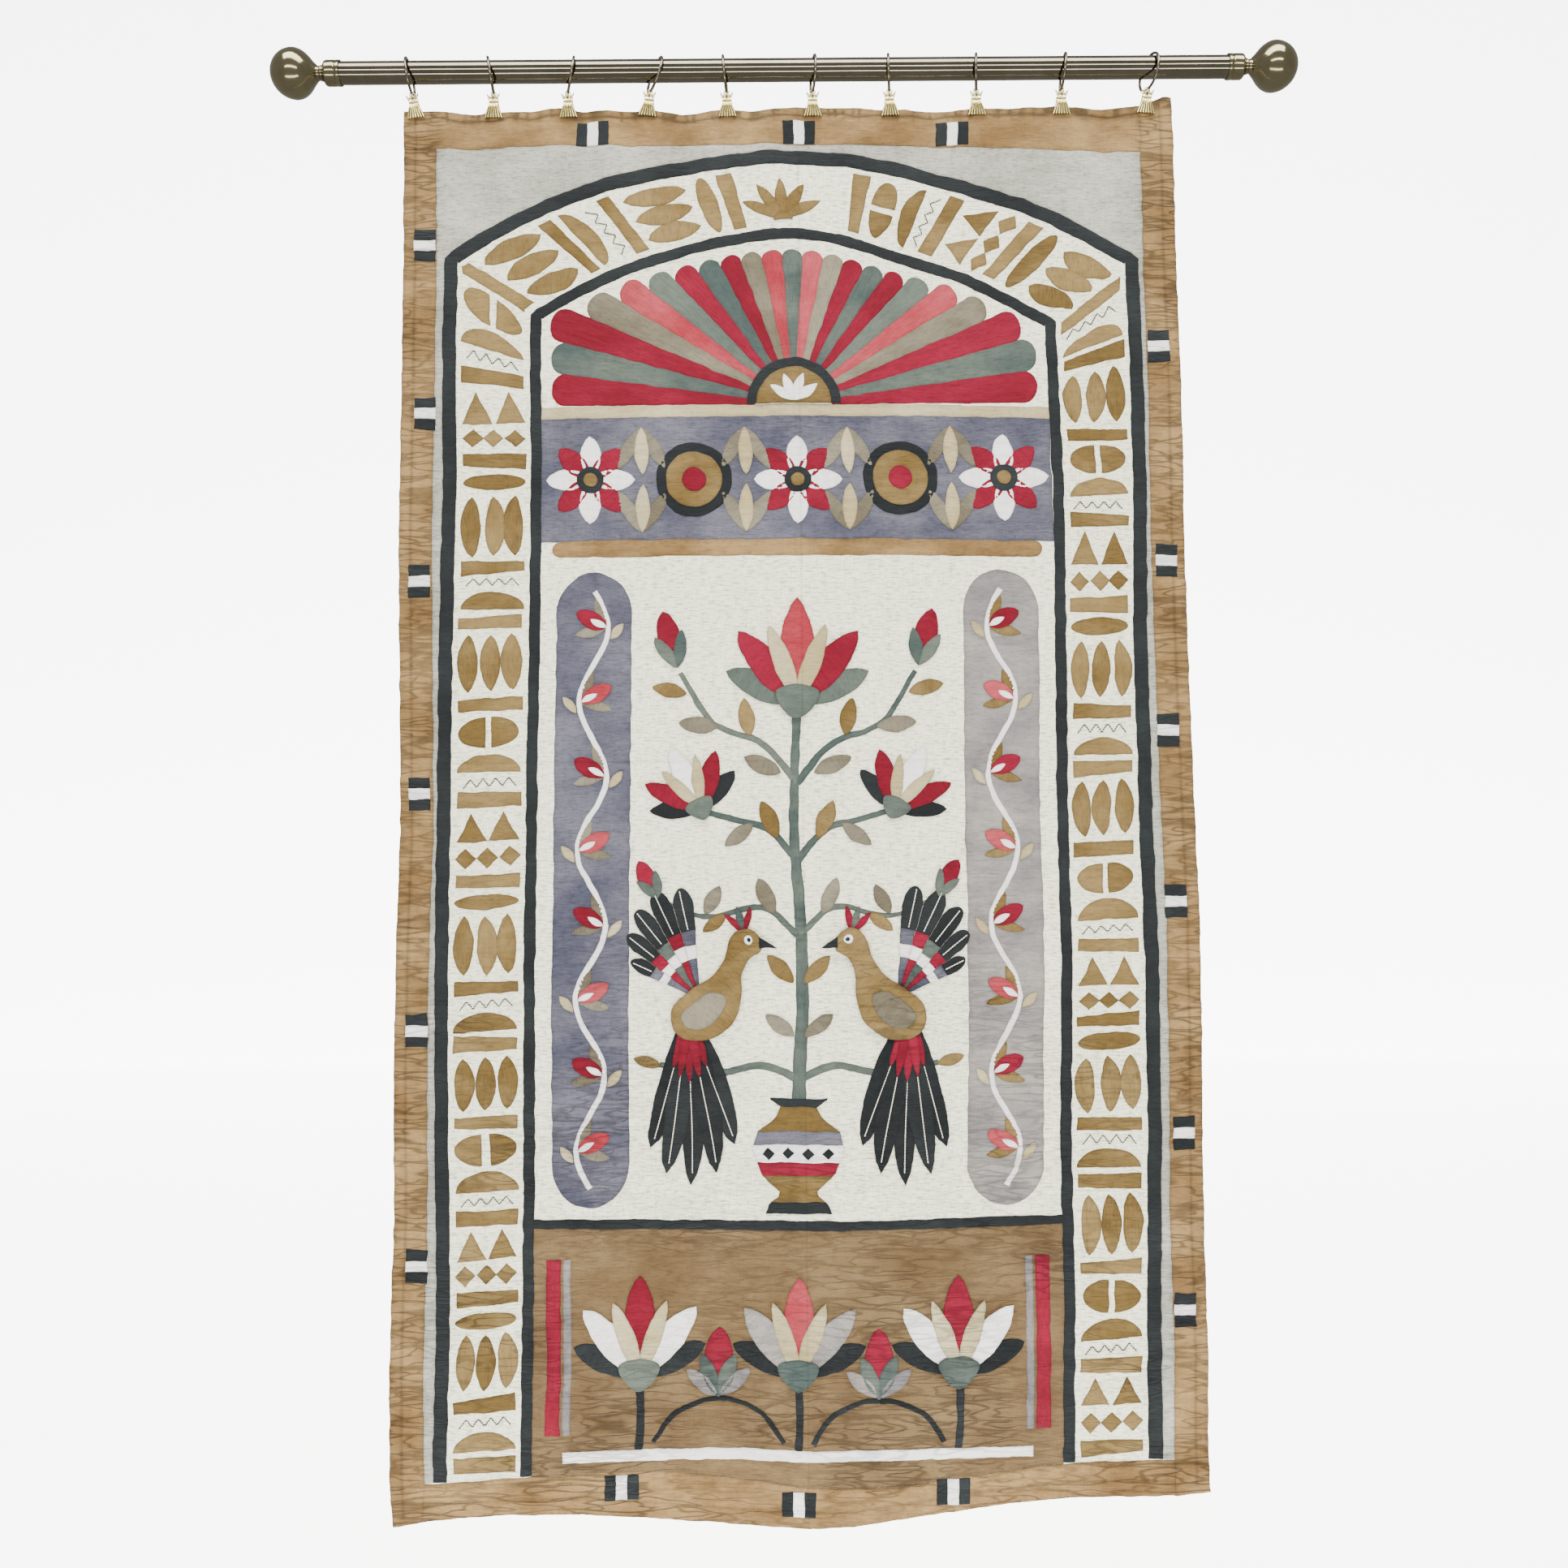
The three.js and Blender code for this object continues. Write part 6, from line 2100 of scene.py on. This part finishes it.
@dataclass
class TasselClip:
    """A brass clip like a small tassel: a crown with three points over a pleated skirt."""

    jaw_front: float = -2.5
    drop: float = 32.0
    columns: int = 48
    rows: int = 30

    def front_jaw(self) -> bpy.types.Mesh:
        """The cast front: crown, waist and pleats.

        Returns:
            Its mesh, hanging from the origin.
        """
        u, v = np.meshgrid(np.linspace(-1, 1, self.columns + 1), np.linspace(0, 1, self.rows + 1))
        crown = 0.4 + 4.2 * np.abs(np.sin(math.pi * u)) ** 1.3
        hem = self.drop + 0.6 - 1.3 * np.abs(np.sin(3.5 * math.pi * u))
        down = crown + (hem - crown) * v
        half = np.interp(
            down, (0, 4, 8, 12, 16, 22, 28, 33), (8.4, 7.6, 6.2, 5.4, 6.2, 8.6, 10.8, 12.4)
        )
        in_skirt = smooth_step((down - 12.5) / 6)
        ridge = np.abs(np.cos(3.5 * math.pi * u))
        pleats = ridge**1.2 * in_skirt
        bowed = np.sqrt(np.clip(1 - 0.8 * u**2, 0, 1))
        bead, neck = (
            np.exp(-(((down - at) / wide) ** 2)) for at, wide in ((10.6, 0.9), (12.3, 0.8))
        )
        waist = 0.9 * bead - 0.9 * neck
        dimple = np.exp(-(((u * half) ** 2 + (down - 6.6) ** 2) / 3.0))
        prongs = np.cos(math.pi * u) ** 2 * smooth_step((7 - down) / 3)
        relief = 1.3 * bowed * (0.5 + 0.5 * v) + 1.5 * pleats + waist - 1.6 * dimple + 0.7 * prongs
        relief = np.maximum(0.15, relief * (1 - 0.35 * u**8))
        groove = in_skirt * np.exp(-((ridge / 0.42) ** 2))
        line = np.exp(-(((down - 12.3) / 0.9) ** 2))
        recess = np.clip(np.maximum(np.maximum(groove, 1.2 * dimple), 0.8 * line), 0, 1)
        front = np.stack((half * u, self.jaw_front - 0.4 - relief, -down), -1)
        back = np.stack((half * u, np.full(u.shape, self.jaw_front), -down), -1)
        return sheet_solid("front_jaw", front, back, recess)

    def plate(self, halves: Sequence[Pair], front: float, back: float) -> bpy.types.Mesh:
        """A plain plate with rounded edges, from a table of depth below the eye and half width."""
        table = np.array(halves)
        drops = np.linspace(table[0, 0], table[-1, 0], 14)
        u, down = np.meshgrid(np.linspace(-1, 1, 9), drops)
        half = np.interp(down, table[:, 0], table[:, 1])
        soft = 0.35 * (u**8)
        near = np.stack((half * u, front + soft, -down), -1)
        far = np.stack((half * u, back - soft, -down), -1)
        return sheet_solid("plate", near, far)

    def build(self) -> bpy.types.Object:
        """Builds the whole clip.

        Returns:
            One clip, hanging from the origin.
        """
        eye = wire_ring("eye", 3.3, 0.65, 20, 8)
        eye.transform(Matrix.Rotation(math.pi / 2, 4, "Z"))
        parts = [
            self.front_jaw(), self.plate(((6, 5.6), (12, 6.2), (34, 10.4)), 1.1, 2.3),
            self.plate(((4.6, 4.6), (11, 4.6)), -3.0, 1.8),
            self.plate(((3.0, 2.2), (10.5, 2.2)), -0.6, 0.6), eye
        ]
        whole = bmesh.new()
        for part in parts:
            whole.from_mesh(part)
        mesh = bpy.data.meshes.new("tassel_clip")
        whole.to_mesh(mesh)
        whole.free()
        mesh.polygons.foreach_set("use_smooth", [True] * len(mesh.polygons))
        return add_piece(mesh)


# ---- the room


@dataclass
class Studio:
    """Pale paper behind and below, soft lights, and the camera where the viewer stands."""

    camera_place: tuple[float, float, float] = (-0.0066, -1.811, -0.9835)
    pitch: float = 2.46
    roll: float = -0.42
    lens: float = 33.54
    room_light: float = 0.44

    def build(self) -> None:
        """Builds the whole room."""
        self.paper()
        self.lights()
        data = bpy.data.cameras.new("viewer")
        data.lens = self.lens
        data.sensor_width = 36
        data.clip_end = 50
        camera = bpy.data.objects.new("viewer", data)
        bpy.context.collection.objects.link(camera)
        view = Euler((math.radians(90 + self.pitch), 0, 0)).to_matrix().to_4x4()
        camera.matrix_world = (
            Matrix.Translation(self.camera_place) @ view
            @ Matrix.Rotation(math.radians(self.roll), 4, "Z")
        )
        bpy.context.scene.camera = camera

    def paper(self) -> None:
        """Lays one sheet of pale paper over the floor and up the far wall, glowing brightly behind
        the cloth.
        """
        low, high, wide, near, far = -1.95, 5.5, 8, -6, 4.8
        corners = [
            (x, y, z) for y, z in ((near, low), (far, low), (far, high)) for x in (-wide, wide)
        ]
        mesh = bpy.data.meshes.new("pale_paper")
        mesh.from_pydata(corners, [], [(0, 1, 3, 2), (2, 3, 5, 4)])
        material = bpy.data.materials.new("pale_paper")
        material.use_nodes = True
        tree = material.node_tree
        shader = tree.nodes["Principled BSDF"]
        shader.inputs["Base Color"].default_value = linear("F6F6F4")
        shader.inputs["Roughness"].default_value = 0.95
        shader.inputs["Emission Color"].default_value = (1, 1, 1, 1)
        place = add_node(tree, "ShaderNodeTexCoord").outputs["Object"]
        deep = add_node(tree, "ShaderNodeSeparateXYZ", {}, {0: place}).outputs["Y"]
        # The paper itself glows: dimly in front of the cloth, brightly behind it
        span = {"From Min": -0.9, "From Max": 0.3}
        glow = add_node(
            tree, "ShaderNodeMapRange",
            {"interpolation_type": "SMOOTHSTEP", **span, "To Min": 0.3, "To Max": 5.0},
            {"Value": deep}
        ).outputs[0]
        tree.links.new(glow, shader.inputs["Emission Strength"])
        mesh.materials.append(material)
        sheet = add_piece(mesh)
        # The polished pole mirrors the dim room and the lamps, not the paper
        sheet.visible_glossy = False

    def lights(self) -> None:
        """Hangs soft lights above the viewer and one low light, in a dim room."""
        world = bpy.data.worlds.new("room")
        world.use_nodes = True
        background = world.node_tree.nodes["Background"]
        background.inputs["Color"].default_value = (1, 1, 1, 1)
        background.inputs["Strength"].default_value = self.room_light
        bpy.context.scene.world = world
        for name, place, target, size, power in (
            ("overhead", (0, -1.35, 2.25), (0, 0, -0.3), (4.4, 1.5), 250),
            ("window", (0, -3.3, 0.23), (0, 0, -0.7), (4.6, 0.35), 72),
            ("low", (0, -2.1, -1.8), (0, -0.2, -0.2), (4.4, 0.28), 42),
        ):
            data = bpy.data.lights.new(name, "AREA")
            data.shape = "RECTANGLE"
            data.size, data.size_y = size
            data.energy = power
            lamp = bpy.data.objects.new(name, data)
            lamp.visible_camera = False
            bpy.context.collection.objects.link(lamp)
            lamp.location = place
            lamp.rotation_euler = (
                Vector(target) - Vector(place)
            ).to_track_quat("-Z", "Y").to_euler()


# ---- the whole hanging


@dataclass
class WallHanging:
    """Builds every piece, puts it on the part's body and hides the nodes it stands for."""

    root: str = "root"

    def take(
        self, piece: bpy.types.Object, nodes: Iterable[str] = ()
    ) -> bpy.types.Object:
        """Makes a piece ride on the body, and replace its nodes.

        Args:
            piece: the finished piece.
            nodes: the nodes it stands for.

        Returns:
            The piece.
        """
        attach(piece, self.root)
        names = list(nodes)
        if names:
            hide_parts(*names)
        LOG.info("%s: %d faces", piece.name, len(piece.data.polygons))
        return piece

    def hardware(self) -> None:
        """Builds the pole, the rings and the clips."""
        for piece, node in CurtainPole().build():
            self.take(piece, [node])
        places = [hanger_matrix(number) for number in range(len(HANGERS))]
        ring = add_piece(wire_ring("ring_model", RING_RADIUS, RING_WIRE, 64, 12))
        rings = HangerRow("curtain_rings").hang(ring, [p[0] for p in places], RING_FINISH.make())
        self.take(rings, [f"ring_{n + 1:02d}" for n in range(len(HANGERS))])
        clips = HangerRow("tassel_clips").hang(
            TasselClip().build(), [p[1] for p in places], CLIP_FINISH.make()
        )
        self.take(clips, [f"clip_{n + 1:02d}" for n in range(len(HANGERS))])

    def cloth(self) -> None:
        """Builds the canvas, everything sewn on it, and the thread."""
        materials = {cotton: finish.make() for cotton, finish in COTTONS.items()}
        ground = self.take(GroundCloth().build(materials), ["ground_cloth"])
        panels = {**Borders().strips(), **FieldPanels().pieces()}
        for node, patch in panels.items():
            piece = SewnCloth(node + "_cotton", (patch.cotton,), [patch], 4.2).build(materials)
            self.take(piece, [node])
        layout = Layout()
        for part in (BandOrnament(), Lunette(), Frieze(), SideVines(), LotusTree(), BasePanel()):
            part.lay_out(layout)
        Borders().blocks(layout)
        for cotton in Cotton:
            patches = [patch for patch in layout.patches if patch.cotton is cotton]
            if patches:
                piece = SewnCloth("patches_" + cotton.value, (cotton,), patches).build(materials)
                self.take(piece, ())
        for thread, lines in layout.threads.items():
            raised = [self.raised(line, level) for line, level in lines]
            piece = RunningStitch(3.4 * MM, 4.4 * MM, 1.6 * MM).lay(
                thread.name.lower() + "_embroidery", raised, thread.value.make()
            )
            self.take(piece)

    def raised(self, line: Points, level: int) -> Points:
        """A line of thread on top of its cloth, in metres."""
        depth = HUNG.depth(line[:, 0], line[:, 1]) - GROUND_HALF - LEVEL_STEP * level - 0.35
        return np.stack((line[:, 0], depth, line[:, 1]), 1) * MM


def main() -> None:
    """Builds the hanging and its room."""
    logging.basicConfig(level=logging.INFO, format="%(name)s: %(message)s")
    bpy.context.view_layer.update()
    hanging = WallHanging()
    hanging.hardware()
    hanging.cloth()
    Studio().build()


if __name__ == "__main__":
    main()
